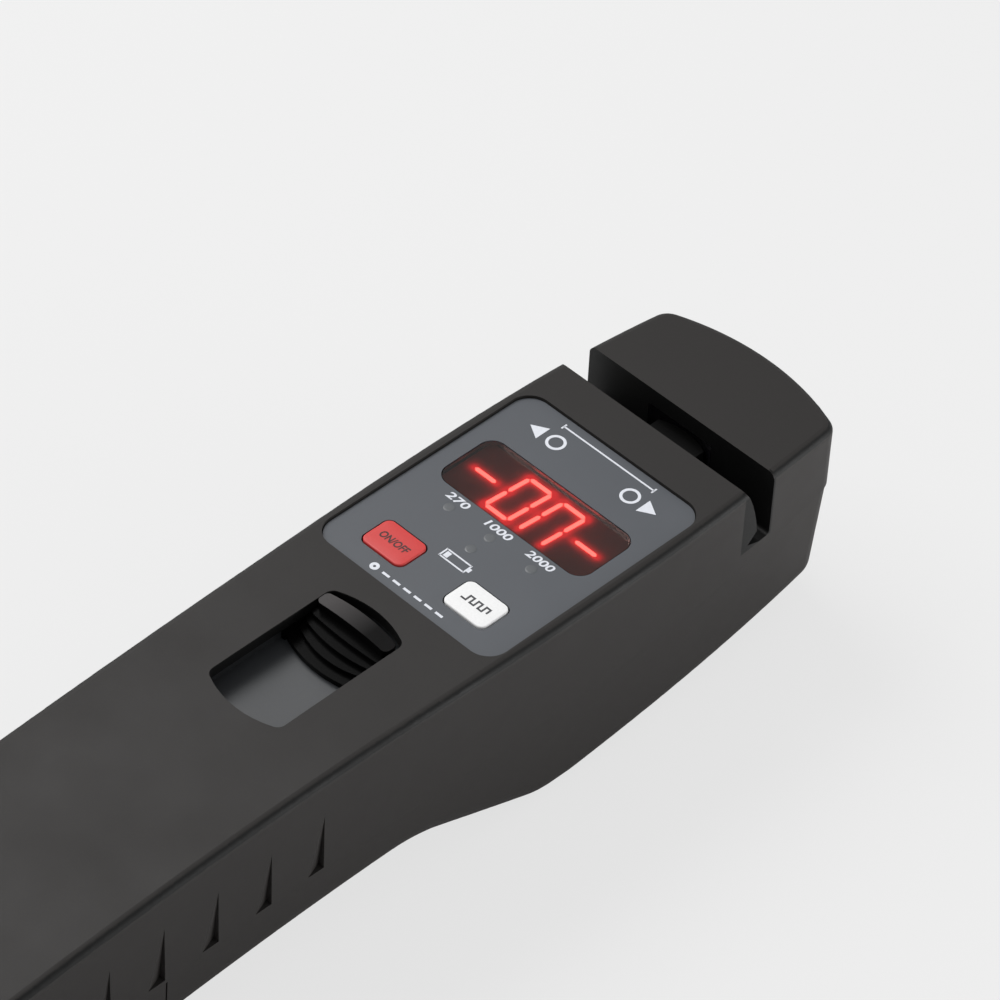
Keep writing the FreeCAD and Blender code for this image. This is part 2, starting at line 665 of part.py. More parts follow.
def upper_keeps():
    """What stays of the upper shell's inside: slot walls, bosses, posts, rails, ribs and clips."""
    above = DECK_HEIGHT + MARGIN
    keeps = [slab(2 * REACH, SLOT_BLOCK_FRONT, SLOT_BLOCK_REAR, SLOT_FLOOR - SLOT_BLOCK_WALL, above)]
    keeps += [post(x, station, BOSS_R, 0, above) for x, station in SCREWS]
    for side in (-1, 1):
        x = side * (BOARD_WIDTH / 2 - POST_INSET)
        for station in (BOARD_FRONT_STATION + POST_INSET, BOARD_REAR_STATION - POST_INSET):
            keeps.append(post(x, station, POST_R, BOARD_TOP, above))
        inner = DETECTOR_BOARD_WIDTH / 2 - GUIDE_CLEARANCE - BOARD_RAIL_HOLD
        rail_middle = DETECTOR_BOARD_FRONT + BOARD_THICKNESS / 2
        low, high = sorted((side * inner, side * REACH))
        keeps.append(box(low, high, rail_middle - BOARD_RAIL_LENGTH / 2,
                         rail_middle + BOARD_RAIL_LENGTH / 2, 0, above))
        low, high = sorted((side * (CRADLE_WIDTH / 2 - CRADLE_RIB_REACH), side * REACH))
        for start in (CRADLE_FRONT + CRADLE_RIB_INSET,
                      CRADLE_REAR - CRADLE_RIB_INSET - CRADLE_RIB_LENGTH):
            keeps.append(tilt(box(low, high, start, start + CRADLE_RIB_LENGTH,
                                  CRADLE_TOP + SEAT, above + REACH)))
    for start in (LASER_START + CLIP_LENGTH, LASER_END - 2 * CLIP_LENGTH):
        keeps.append(tilt(slab(2 * (LASER_R + CLIP_WALL), start, start + CLIP_LENGTH,
                               CRADLE_TOP + GUIDE_CLEARANCE, above + REACH)))
    return fuse(keeps)


def upper_cuts():
    """Everything cut right through the upper shell or into it."""
    above = DECK_HEIGHT + MARGIN
    below_deck = INNER_DECK - MARGIN
    cuts = [
        slot_cutter(),
        slab(ANVIL_WIDTH + 2 * GUIDE_CLEARANCE, SLOT_FRONT_STATION + SLOT_CORNER_R,
             SLOT_BLOCK_REAR + MARGIN, ANVIL_BOTTOM - GUIDE_CLEARANCE, ANVIL_TOP + GUIDE_CLEARANCE),
        slab(DETECTOR_WIDTH + 2 * DETECTOR_CLEARANCE, SLOT_BLOCK_FRONT - MARGIN,
             SLOT_FRONT_STATION + MARGIN, DETECTOR_BOTTOM - DETECTOR_CLEARANCE,
             DETECTOR_TOP + DETECTOR_CLEARANCE),
        panel_slab(PANEL_CLEARANCE, LABEL_BOTTOM, above),
        display_slab(PANEL_CLEARANCE, below_deck, above),
        well_slab(0.0, below_deck, above),
        slab(DETECTOR_BOARD_WIDTH + 2 * PANEL_CLEARANCE, DETECTOR_BOARD_FRONT - PANEL_CLEARANCE,
             DETECTOR_BOARD_FRONT + BOARD_THICKNESS + PANEL_CLEARANCE, 0,
             DETECTOR_TOP + PANEL_CLEARANCE),
        tilt(rod_along_y(0, LASER_START - MARGIN, LASER_END + MARGIN, LASER_AXIS, LASER_R + SEAT)),
        tilt(rod_along_y(0, LASER_END, LENGTH + 2 * MARGIN, LASER_AXIS, PORT_R + SEAT)),
    ]
    cuts += [key_slab(side, KEY_CLEARANCE, below_deck, above) for side in (-1, 1)]
    direction, tone, battery = lamp_places()
    cuts += [post(x, s, DIRECTION_LAMP_R + LAMP_CLEARANCE, below_deck, above) for x, s in direction]
    cuts += [post(x, s, SMALL_LAMP_R + LAMP_CLEARANCE, below_deck, above) for x, s in tone + battery]
    for x, station in SCREWS:
        cuts.append(post(x, station, SCREW_R + PILOT_CLEARANCE, 0,
                         seam_height(station) + SCREW_BITE + SEAT))
    for index in range(GRIP_COUNT):
        station = GRIP_FIRST_STATION + index * GRIP_PITCH
        cuts += [grip_wedge(side, station) for side in (-1, 1)]
    return cuts


def upper_shell(profile):
    hollow = cavity(profile, plan_prism(WALL, 0.0, -MARGIN, DECK_HEIGHT + MARGIN))
    shell = upper_outer(profile).cut(hollow.cut(upper_keeps()))
    for cutter in upper_cuts():
        shell = shell.cut(cutter)
    return shell


def lower_half(profile, keeps):
    hollow = cavity(profile, drafted_prism(WALL))
    if keeps:
        hollow = hollow.cut(fuse(keeps))
    return lower_outer(profile).cut(hollow)


def screw_ledge(station):
    return seam_height(station) - SHELL_SEAM_GAP - SCREW_GRIP


def lower_shell(profile):
    """Belly and lower head: bosses for the screws, a rear bulkhead and the spring's stop."""
    end = DOOR_STATION - DOOR_GAP / 2
    keeps = [post(x, station, BOSS_LOWER_R, -MARGIN, DECK_HEIGHT) for x, station in SCREWS]
    keeps.append(slab(2 * REACH, end - BULKHEAD, end, -MARGIN, DECK_HEIGHT))
    shell = lower_half(profile, keeps)
    shell = shell.common(slab(2 * REACH, -MARGIN, end, -MARGIN, DECK_HEIGHT))
    for x, station in SCREWS:
        ledge = screw_ledge(station)
        shell = shell.cut(post(x, station, SCREW_R + SHANK_CLEARANCE, -MARGIN, DECK_HEIGHT))
        shell = shell.cut(post(x, station, SCREW_HEAD_R + COUNTERBORE_CLEARANCE, -MARGIN, ledge))
    stop = slab(2 * (SPRING_OUTER_R + SPRING_STOP_MARGIN), SPRING_STOP_FRONT,
                SPRING_STOP_FRONT + SPRING_STOP_THICKNESS, 0, SPRING_AXIS + SPRING_OUTER_R)
    stop = stop.common(shifted(profile, WALL / 2))
    pin = rod_along_y(0, SPRING_STOP_FRONT - SPRING_PIN_LENGTH, SPRING_STOP_FRONT, SPRING_AXIS,
                      SPRING_PIN_R)
    return fuse([shell, stop, pin])


def battery_door(profile):
    start = DOOR_STATION + DOOR_GAP / 2
    half = lower_half(profile, [])
    return half.common(slab(2 * REACH, start, LENGTH + MARGIN, -MARGIN, DECK_HEIGHT))


def case_screws():
    screws = []
    for x, station in SCREWS:
        ledge = screw_ledge(station)
        head = post(x, station, SCREW_HEAD_R, ledge - SCREW_HEAD_HEIGHT, ledge)
        shank = post(x, station, SCREW_R, ledge, seam_height(station) + SCREW_BITE)
        screw = head.fuse(shank)
        bottom = ledge - SCREW_HEAD_HEIGHT
        for length, width in ((DRIVE_LENGTH, DRIVE_WIDTH), (DRIVE_WIDTH, DRIVE_LENGTH)):
            screw = screw.cut(box(x - length / 2, x + length / 2, station - width / 2,
                                  station + width / 2, bottom - MARGIN, bottom + DRIVE_DEPTH))
        screws.append(screw.removeSplitter())
    return Part.makeCompound(screws)


# ---- control panel ------------------------------------------------------------------------------
def control_label():
    label = panel_slab(0.0, LABEL_BOTTOM, LABEL_TOP)
    label = label.cut(display_slab(PANEL_CLEARANCE, LABEL_BOTTOM - MARGIN, LABEL_TOP + MARGIN))
    for side in (-1, 1):
        label = label.cut(key_slab(side, KEY_CLEARANCE, LABEL_BOTTOM - MARGIN, LABEL_TOP + MARGIN))
    return label


def display_lens():
    return display_slab(0.0, LENS_BOTTOM, LENS_TOP)


def display_module():
    return slab(MODULE_WIDTH, DISPLAY_STATION - MODULE_DEPTH / 2, DISPLAY_STATION + MODULE_DEPTH / 2,
                BOARD_TOP, MODULE_TOP)


def bar_segment(cx, cy, length, along_x):
    """One display segment with pointed ends, drawn about the centre of its digit."""
    h = length / 2
    w = SEGMENT_WIDTH / 2
    outline = [(-h, 0), (-h + w, w), (h - w, w), (h, 0), (h - w, -w), (-h + w, -w)]
    if not along_x:
        outline = [(y, x) for x, y in outline]
    return [(cx + x, cy + y) for x, y in outline]


def display_segments():
    """Seven slanted bars in each digit, on the face of the display module."""
    slant = math.tan(math.radians(DIGIT_SLANT_DEG))
    span = DIGIT_WIDTH - SEGMENT_WIDTH
    rise = (DIGIT_HEIGHT - SEGMENT_WIDTH) / 2
    bars = [bar_segment(0, level, span - SEGMENT_GAP, True) for level in (-rise, 0, rise)]
    for x in (-span / 2, span / 2):
        for y in (-rise / 2, rise / 2):
            bars.append(bar_segment(x, y, rise - SEGMENT_GAP, False))
    solids = []
    for digit in range(DIGIT_COUNT):
        centre = (digit - (DIGIT_COUNT - 1) / 2) * DIGIT_PITCH
        for bar in bars:
            points = [vec(centre + x + y * slant, DISPLAY_STATION - y, MODULE_TOP) for x, y in bar]
            face = Part.Face(Part.makePolygon(points + points[:1]))
            solids.append(face.extrude(FreeCAD.Vector(0, 0, SEGMENT_THICKNESS)))
    return Part.makeCompound(solids)


def key(side):
    """A rounded cap, a flange that holds it under the deck and a stem over the switch."""
    flange_top = INNER_DECK - SEAT
    flange_bottom = flange_top - KEY_FLANGE_THICKNESS
    cap = key_slab(side, 0.0, flange_bottom, LABEL_TOP + KEY_PROUD)
    rim = [e for e in cap.Edges if all(v.Point.z > LABEL_TOP + KEY_PROUD - 1e-6 for v in e.Vertexes)]
    cap = cap.makeChamfer(KEY_EDGE, rim)
    flange = key_slab(side, KEY_FLANGE, flange_bottom, flange_top)
    nub_top = BOARD_TOP + SWITCH_HEIGHT + SWITCH_BUTTON_HEIGHT
    stem = post(side * KEY_SPACING / 2, KEY_STATION, KEY_STEM_R, nub_top + KEY_TRAVEL + SEAT,
                flange_top)
    return fuse([cap, flange, stem])


def key_switches():
    switches = []
    half = SWITCH_SIZE / 2
    for side in (-1, 1):
        x = side * KEY_SPACING / 2
        case = box(x - half, x + half, KEY_STATION - half, KEY_STATION + half, BOARD_TOP,
                   BOARD_TOP + SWITCH_HEIGHT)
        nub = post(x, KEY_STATION, SWITCH_BUTTON_R, BOARD_TOP + SWITCH_HEIGHT,
                   BOARD_TOP + SWITCH_HEIGHT + SWITCH_BUTTON_HEIGHT)
        switches.append(case.fuse(nub))
    return Part.makeCompound(switches)


def lamps(places, radius):
    """Lamps that stand on the main board and reach up to the label."""
    top = LABEL_BOTTOM - SEAT
    return Part.makeCompound([post(x, station, radius, BOARD_TOP, top) for x, station in places])


def main_board():
    board = slab(BOARD_WIDTH, BOARD_FRONT_STATION, BOARD_REAR_STATION, BOARD_BOTTOM, BOARD_TOP)
    notch = slab(ANVIL_WIDTH + 2 * (GUIDE_CLEARANCE + BOARD_NOTCH_MARGIN),
                 BOARD_FRONT_STATION - MARGIN, LEG_REAR + SLIDER_TRAVEL + 2 * GUIDE_CLEARANCE,
                 BOARD_BOTTOM - MARGIN, BOARD_TOP + MARGIN)
    return board.cut(notch)


# ---- clamp and slider ---------------------------------------------------------------------------
def detector_block():
    body = slab(DETECTOR_WIDTH, DETECTOR_FRONT, DETECTOR_REAR, DETECTOR_BOTTOM, DETECTOR_TOP)
    flange = slab(DETECTOR_WIDTH + 2 * DETECTOR_FLANGE, DETECTOR_FRONT, SLOT_BLOCK_FRONT - SEAT,
                  DETECTOR_BOTTOM - DETECTOR_FLANGE, DETECTOR_TOP + DETECTOR_FLANGE)
    hollow = post(0, DETECTOR_REAR - DETECTOR_SAG + DETECTOR_FACE_R, DETECTOR_FACE_R,
                  DETECTOR_BOTTOM - MARGIN, DETECTOR_TOP + MARGIN)
    return body.fuse(flange).cut(hollow).removeSplitter()


def photodiodes():
    height = (DETECTOR_BOTTOM + DETECTOR_TOP) / 2
    return Part.makeCompound([rod_along_y(side * DIODE_SPACING / 2, DIODE_FRONT, DETECTOR_FRONT,
                                          height, DIODE_R) for side in (-1, 1)])


def detector_board():
    return slab(DETECTOR_BOARD_WIDTH, DETECTOR_BOARD_FRONT, DIODE_FRONT,
                DETECTOR_TOP - DETECTOR_BOARD_HEIGHT, DETECTOR_TOP)


def fibre_anvil():
    block = slab(ANVIL_WIDTH, ANVIL_NOSE, ANVIL_BACK, ANVIL_BOTTOM, ANVIL_TOP)
    nose = post(0, ANVIL_NOSE + ANVIL_NOSE_R, ANVIL_NOSE_R, ANVIL_BOTTOM, ANVIL_TOP)
    back = slab(ANVIL_WIDTH, ANVIL_NOSE + ANVIL_NOSE_R / 2, ANVIL_BACK, ANVIL_BOTTOM, ANVIL_TOP)
    return block.common(nose.fuse(back)).removeSplitter()


def slider_link():
    """The bar that ties the thumb slider to the clamp, with a leg that the spring bears on."""
    bar = slab(LINK_WIDTH, ANVIL_BACK, LINK_POST_REAR, LINK_BOTTOM, LINK_TOP)
    riser = slab(LINK_POST_WIDTH, LINK_POST_FRONT, LINK_POST_REAR, LINK_BOTTOM, SLIDER_BOTTOM)
    leg = slab(ANVIL_WIDTH - 2 * LINK_LEG_INSET, ANVIL_BACK, LEG_REAR,
               SPRING_AXIS - SPRING_OUTER_R, ANVIL_TOP)
    return fuse([bar, riser, leg])


def thumb_slider():
    """A foot with rails under the deck, and ribs that climb from thumb-round to a level crest."""
    foot_top = SLIDER_BOTTOM + SLIDER_BASE_THICKNESS
    width = WINDOW_WIDTH - 2 * SLIDER_SIDE_GAP
    foot_width = WINDOW_WIDTH + 2 * (TRAY_MARGIN - GUIDE_CLEARANCE)
    pieces = [arched_slab(foot_width, SLIDER_FRONT - SLIDER_TOE, SLIDER_REAR, SLIDER_BOTTOM,
                          foot_top, WINDOW_CORNER_R, (SLIDER_NOSE_BULGE, WINDOW_BULGE))]
    crest_rear = SLIDER_FRONT + SLIDER_CREST
    for rib in range(SLIDER_RIB_COUNT + 1):
        above = SLIDER_RIB_COUNT - rib
        top = foot_top + (rib + 1) * SLIDER_RIB_RISE if above else DECK_HEIGHT + SLIDER_PROUD
        bulge = WINDOW_BULGE * (1 - rib * SLIDER_RIB_STRAIGHTENING)
        pieces.append(arched_slab(width, SLIDER_FRONT, crest_rear + above * SLIDER_RIB_PITCH,
                                  foot_top - SLIDER_BASE_THICKNESS / 2, top, SLIDER_CORNER_R,
                                  (SLIDER_NOSE_BULGE, bulge)))
    rail_x = foot_width / 2 - SLIDER_RAIL_WIDTH
    rail_front = SLIDER_FRONT + SLIDER_RAIL_SETBACK
    for side in (-1, 1):
        low, high = sorted((side * rail_x, side * foot_width / 2))
        pieces.append(box(low, high, rail_front, rail_front + SLIDER_RAIL_LENGTH,
                          SLIDER_BOTTOM, INNER_DECK - SEAT))
    return fuse(pieces)


def slider_tray(profile):
    """The well under the slider's window: a floor and a wall that seats under the deck."""
    outer = well_slab(TRAY_MARGIN + TRAY_WALL, WELL_FLOOR - TRAY_WALL, DECK_HEIGHT)
    tray = outer.cut(well_slab(TRAY_MARGIN, WELL_FLOOR, DECK_HEIGHT + MARGIN))
    tray = tray.common(shifted(profile, -WALL - SEAT))
    passage = slab(LINK_POST_WIDTH + 2 * GUIDE_CLEARANCE, LINK_POST_FRONT - GUIDE_CLEARANCE,
                   LINK_POST_REAR + SLIDER_TRAVEL + GUIDE_CLEARANCE,
                   WELL_FLOOR - 2 * TRAY_WALL, WELL_FLOOR + TRAY_WALL)
    return tray.cut(passage)


def coil(front, rear, x, height, outer_r, wire_r, turns):
    """A helical spring that lies between two stations, its axis along Y."""
    length = rear - front - 2 * wire_r
    radius = outer_r - wire_r
    helix = Part.makeHelix(length / turns, length, radius)
    angles = [2 * math.pi * side / WIRE_SIDES for side in range(WIRE_SIDES + 1)]
    section = Part.makePolygon([FreeCAD.Vector(radius + wire_r * math.cos(a), 0, wire_r * math.sin(a))
                                for a in angles])
    spring = Part.Wire(helix).makePipeShell([section], True, True)
    spring.rotate(FreeCAD.Vector(), FreeCAD.Vector(1, 0, 0), 90)
    spring.translate(vec(x, front + wire_r, height))
    return spring


# ---- battery and laser --------------------------------------------------------------------------
def cell_x():
    return (-CELL_SPACING / 2, CELL_SPACING / 2)


def battery_cells():
    cells = []
    for x, reverse in zip(cell_x(), (False, True)):
        front = CELL_START + (0 if reverse else CELL_CAP_HEIGHT)
        rear = CELL_END - (CELL_CAP_HEIGHT if reverse else 0)
        can = rod_along_y(x, front, rear, CELL_AXIS, CELL_R)
        cap = rod_along_y(x, CELL_START, CELL_END, CELL_AXIS, CELL_CAP_R)
        cells.append(can.fuse(cap).removeSplitter())
    return tilt(Part.makeCompound(cells))


def battery_contacts():
    half = CONTACT_WIDTH / 2
    pieces = []
    for x in cell_x():
        pieces.append(box(x - half, x + half, CELL_START - CONTACT_ROOM - CONTACT_THICKNESS,
                          CELL_START - CONTACT_ROOM, CELL_AXIS - half, CELL_AXIS + half))
        pieces.append(coil(CELL_END + SEAT, REAR_CONTACT - SEAT, x, CELL_AXIS, CELL_SPRING_R,
                           SPRING_WIRE_R, CELL_SPRING_TURNS))
    pieces.append(slab(CELL_SPACING + CONTACT_WIDTH, REAR_CONTACT,
                       REAR_CONTACT + CONTACT_THICKNESS, CELL_AXIS - half, CELL_AXIS + half))
    return tilt(Part.makeCompound(pieces))


def battery_cradle():
    """An open tray, mouth down, that holds both cells and their contacts."""
    outer = slab(CRADLE_WIDTH, CRADLE_FRONT, CRADLE_REAR, CRADLE_TOP - CRADLE_HEIGHT, CRADLE_TOP)
    room = slab(CRADLE_WIDTH - CRADLE_WALL, CRADLE_FRONT + CRADLE_WALL, CRADLE_REAR - CRADLE_WALL,
                CRADLE_TOP - CRADLE_HEIGHT - MARGIN, CRADLE_CEILING)
    sides = slab(CRADLE_WIDTH + MARGIN, CRADLE_FRONT + 3 * CRADLE_WALL,
                 CRADLE_REAR - 3 * CRADLE_WALL, CRADLE_TOP - CRADLE_HEIGHT - MARGIN,
                 CELL_AXIS + CELL_R / 2)
    return tilt(outer.cut(room).cut(sides))


def laser_module():
    return tilt(rod_along_y(0, LASER_START, LASER_END, LASER_AXIS, LASER_R))


def laser_port():
    sleeve = rod_along_y(0, LASER_END, PORT_END, LASER_AXIS, PORT_R)
    bore = rod_along_y(0, PORT_END - PORT_BORE_DEPTH, PORT_END + MARGIN, LASER_AXIS, PORT_BORE_R)
    return tilt(sleeve.cut(bore))


def build():
    profile = side_prism()
    direction, tone, battery = lamp_places()
    return {
        "upper_shell": upper_shell(profile),
        "lower_shell": lower_shell(profile),
        "battery_door": battery_door(profile),
        "case_screws": case_screws(),
        "control_label": control_label(),
        "display_lens": display_lens(),
        "display_module": display_module(),
        "display_segments": display_segments(),
        "power_key": key(-1),
        "pulse_key": key(1),
        "key_switches": key_switches(),
        "direction_lamps": lamps(direction, DIRECTION_LAMP_R),
        "tone_lamps": lamps(tone, SMALL_LAMP_R),
        "low_battery_lamp": lamps(battery, SMALL_LAMP_R),
        "main_board": main_board(),
        "slider_tray": slider_tray(profile),
        "thumb_slider": thumb_slider(),
        "slider_link": slider_link(),
        "fibre_anvil": fibre_anvil(),
        "return_spring": coil(SPRING_FRONT, SPRING_REAR, 0, SPRING_AXIS, SPRING_OUTER_R,
                              SPRING_WIRE_R, SPRING_TURNS),
        "detector_block": detector_block(),
        "photodiodes": photodiodes(),
        "detector_board": detector_board(),
        "battery_cradle": battery_cradle(),
        "battery_cells": battery_cells(),
        "battery_contacts": battery_contacts(),
        "laser_module": laser_module(),
        "laser_port": laser_port(),
    }


def main():
    os.makedirs("parts", exist_ok=True)
    for name, shape in build().items():
        solids = shape.Solids
        print(name, len(solids), shape.isValid(), round(shape.Volume, 1))
        shape = solids[0] if len(solids) == 1 else Part.makeCompound(solids)
        shape.exportStep("parts/" + name + ".step")


if __name__ == "__main__":
    main()
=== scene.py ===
"""Finishes for a hand-held live-fibre identifier: casing, label, display, keys, thumb slider and stage."""
import math

import bmesh
import bpy
from bpy.props import FloatProperty, FloatVectorProperty, PointerProperty
from mathutils import Matrix, Vector


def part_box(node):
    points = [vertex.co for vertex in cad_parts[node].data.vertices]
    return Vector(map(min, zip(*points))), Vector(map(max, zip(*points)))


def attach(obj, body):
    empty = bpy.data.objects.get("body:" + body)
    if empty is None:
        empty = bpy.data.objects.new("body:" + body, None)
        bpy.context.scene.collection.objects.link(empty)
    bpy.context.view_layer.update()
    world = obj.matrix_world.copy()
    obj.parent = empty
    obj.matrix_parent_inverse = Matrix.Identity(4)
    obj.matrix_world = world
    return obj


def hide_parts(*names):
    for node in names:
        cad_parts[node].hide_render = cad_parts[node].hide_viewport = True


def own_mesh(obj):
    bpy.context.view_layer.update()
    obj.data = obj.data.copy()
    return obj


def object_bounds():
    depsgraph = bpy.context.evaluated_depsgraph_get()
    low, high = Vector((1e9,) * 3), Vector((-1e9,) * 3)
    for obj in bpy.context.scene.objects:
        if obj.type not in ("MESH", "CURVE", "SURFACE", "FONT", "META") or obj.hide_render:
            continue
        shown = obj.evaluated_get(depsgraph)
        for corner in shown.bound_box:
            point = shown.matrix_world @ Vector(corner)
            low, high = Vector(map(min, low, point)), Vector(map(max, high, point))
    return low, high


bl_info = {
    "name": "Fibre identifier finishes",
    "version": (1, 0, 0),
    "blender": (4, 5, 0),
    "location": "View3D > Sidebar > Fibre identifier",
    "description": "Materials and fine pieces for a live-fibre identifier with a fault locator",
    "category": "Object",
}

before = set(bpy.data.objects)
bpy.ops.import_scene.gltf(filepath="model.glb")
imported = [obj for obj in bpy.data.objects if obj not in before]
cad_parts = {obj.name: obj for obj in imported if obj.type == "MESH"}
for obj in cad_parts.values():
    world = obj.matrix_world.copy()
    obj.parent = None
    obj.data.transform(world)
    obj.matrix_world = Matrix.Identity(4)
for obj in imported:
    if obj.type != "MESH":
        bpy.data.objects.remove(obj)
CAD_BOUNDS = [list(corner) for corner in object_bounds()]
MM = 0.001


def middle(node):
    """Centre of a CAD node's box."""
    low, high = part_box(node)
    return (Vector(low) + Vector(high)) / 2


def top_of(node):
    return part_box(node)[1][2]


DISPLAY = middle("display_lens")
LABEL_TOP = top_of("control_label")
DECK_TOP = CAD_BOUNDS[1][2]
# how far up a rounded edge of the deck faces, as the height of its normal, and how far off that
# its darker tint is still full and is gone
EDGE_FACING = 0.6
EDGE_FULL = 0.2
EDGE_GONE = 0.36
# an upright wall's normal is at most this high
UPRIGHT = 0.5
SLOT_MOUTH = 6.5 * MM
SLOT_MARGIN = 0.4 * MM
# the slot's floor lies under the anvil, and its rim under the deck's rounded edge
SLOT_FLOOR_DROP = 1.2 * MM
RIM_DROP = 0.5 * MM
# ink and windows lie this far over the label, so that no two faces share a place
LIFT = 0.002 * MM


def linear(code):
    """An sRGB hex colour as linear red, green and blue."""
    values = []
    for start in (1, 3, 5):
        level = int(code[start:start + 2], 16) / 255
        values.append(level / 12.92 if level <= 0.04045 else ((level + 0.055) / 1.055) ** 2.4)
    return tuple(values)


def colour_setting(label, about, code):
    return FloatVectorProperty(name=label, description=about, subtype="COLOR", size=3, min=0.0,
                               max=1.0, default=linear(code))


def length_setting(label, about, millimetres):
    return FloatProperty(name=label, description=about, default=millimetres * MM, unit="LENGTH",
                         subtype="DISTANCE", precision=5)


class FinishColours(bpy.types.PropertyGroup):
    """Colours of the moulded, printed and lit finishes."""

    casing: colour_setting("Casing", "Black ABS of the shell halves and the door", "#292726")
    label: colour_setting("Label", "Grey of the printed polyester label", "#4d5055")
    ink: colour_setting("Ink", "White screen ink of the marks", "#d9dce3")
    well: colour_setting("Well", "Grey ABS of the well under the slider", "#36383b")
    slider: colour_setting("Slider", "Satin black of the thumb slider", "#050505")
    power_key: colour_setting("Power key", "Red of the power key", "#c93a38")
    pulse_key: colour_setting("Pulse key", "White of the pulse key", "#ececec")
    key_ink: colour_setting("Key ink", "Dark ink on the keys", "#3a1c1c")
    lit: colour_setting("Lit segment", "Core of a lit display segment", "#ff7a74")
    glow: colour_setting("Glow", "Light that spreads round a lit segment", "#e01828")
    floor: colour_setting("Floor", "Pale floor under the tool", "#ececec")


class PanelSizes(bpy.types.PropertyGroup):
    """Sizes of the label's marks and of the display's digits."""

    ink_height: length_setting("Ink height", "How far the screen ink stands on the label", 0.03)
    ring_radius: length_setting("Ring radius", "Middle radius of the direction rings", 1.45)
    ring_line: length_setting("Ring line", "Width of the rings' line", 0.5)
    ring_spacing: length_setting("Ring spacing", "Centre to centre of the two rings", 16.2)
    number_height: length_setting("Number height", "Height of the frequency numbers", 1.5)
    digit_pitch: length_setting("Digit pitch", "Centre to centre of the digits", 7.3)
    digit_height: length_setting("Digit height", "Height of a digit", 9.8)
    digit_width: length_setting("Digit width", "Width of a digit", 5.5)
    digit_slant: FloatProperty(name="Digit slant", description="Lean of the digits to the right",
                               default=math.radians(4.5), subtype="ANGLE")
    segment_width: length_setting("Segment width", "Width of a bar of a digit", 0.7)
    key_proud: length_setting("Key height", "How far the keys stand above the label", 0.3)
    key_round: length_setting("Key edge", "Rounding of the keys' upper edges", 0.25)


class StageSizes(bpy.types.PropertyGroup):
    """Camera and light."""

    azimuth: FloatProperty(name="Azimuth", description="Direction that the camera looks from",
                           default=math.radians(43.26), subtype="ANGLE")
    elevation: FloatProperty(name="Elevation", description="Height of the camera above the horizon",
                             default=math.radians(44.13), subtype="ANGLE")
    roll: FloatProperty(name="Roll", description="Turn of the picture about its middle",
                        default=math.radians(3.09), subtype="ANGLE")
    distance: length_setting("Distance", "From the camera to the label", 739.3)
    focal_length: FloatProperty(name="Focal length", description="Lens on a 36 mm sensor",
                                default=172.87, unit="CAMERA")
    floor_size: length_setting("Floor size", "Side of the square floor", 4000.0)


# ---- materials ----------------------------------------------------------------------------------
def add_node(tree, kind, inputs=None, **settings):
    """Adds a node with its settings; an input is a value or another node's output."""
    node = tree.nodes.new(kind)
    for name, value in settings.items():
        setattr(node, name, value)
    for name, value in (inputs or {}).items():
        socket = node.inputs[name]
        if isinstance(value, bpy.types.NodeSocket):
            tree.links.new(value, socket)
        else:
            socket.default_value = value
    return node


def rgba(colour):
    return (*tuple(colour)[:3], 1.0)


def shade(colour, factor):
    return tuple(max(0.0, min(1.0, value * factor)) for value in tuple(colour)[:3])


def start_material(name):
    """A material with a Principled surface and Object coordinates."""
    material = bpy.data.materials.new(name)
    material.use_nodes = True
    tree = material.node_tree
    tree.nodes.clear()
    surface = add_node(tree, "ShaderNodeBsdfPrincipled")
    add_node(tree, "ShaderNodeOutputMaterial", {"Surface": surface.outputs["BSDF"]})
    place = add_node(tree, "ShaderNodeTexCoord").outputs["Object"]
    return material, tree, surface, place


def mottled(tree, place, size, dark, light, detail=3.0):
    """Two colours mixed by a soft noise of a given feature size in metres."""
    noise = add_node(tree, "ShaderNodeTexNoise", {"Vector": place, "Scale": 1 / size,
                                                  "Detail": detail, "Roughness": 0.55})
    mix = add_node(tree, "ShaderNodeMix", {"Factor": noise.outputs["Fac"]}, data_type="RGBA")
    mix.inputs["A"].default_value = rgba(dark)
    mix.inputs["B"].default_value = rgba(light)
    return mix.outputs["Result"], noise.outputs["Fac"]


def roughened(tree, factor, low, high):
    """Roughness that drifts between two values with a soft noise."""
    span = add_node(tree, "ShaderNodeMapRange", {"Value": factor, "From Min": 0.3, "From Max": 0.7,
                                                 "To Min": low, "To Max": high})
    return span.outputs["Result"]


def grained(tree, place, size, depth, strength):
    """A bump of fine grain: feature size and depth in metres."""
    noise = add_node(tree, "ShaderNodeTexNoise", {"Vector": place, "Scale": 1 / size, "Detail": 2.0,
                                                  "Roughness": 0.6})
    bump = add_node(tree, "ShaderNodeBump", {"Height": noise.outputs["Fac"], "Distance": depth,
                                             "Strength": strength})
    return bump.outputs["Normal"]


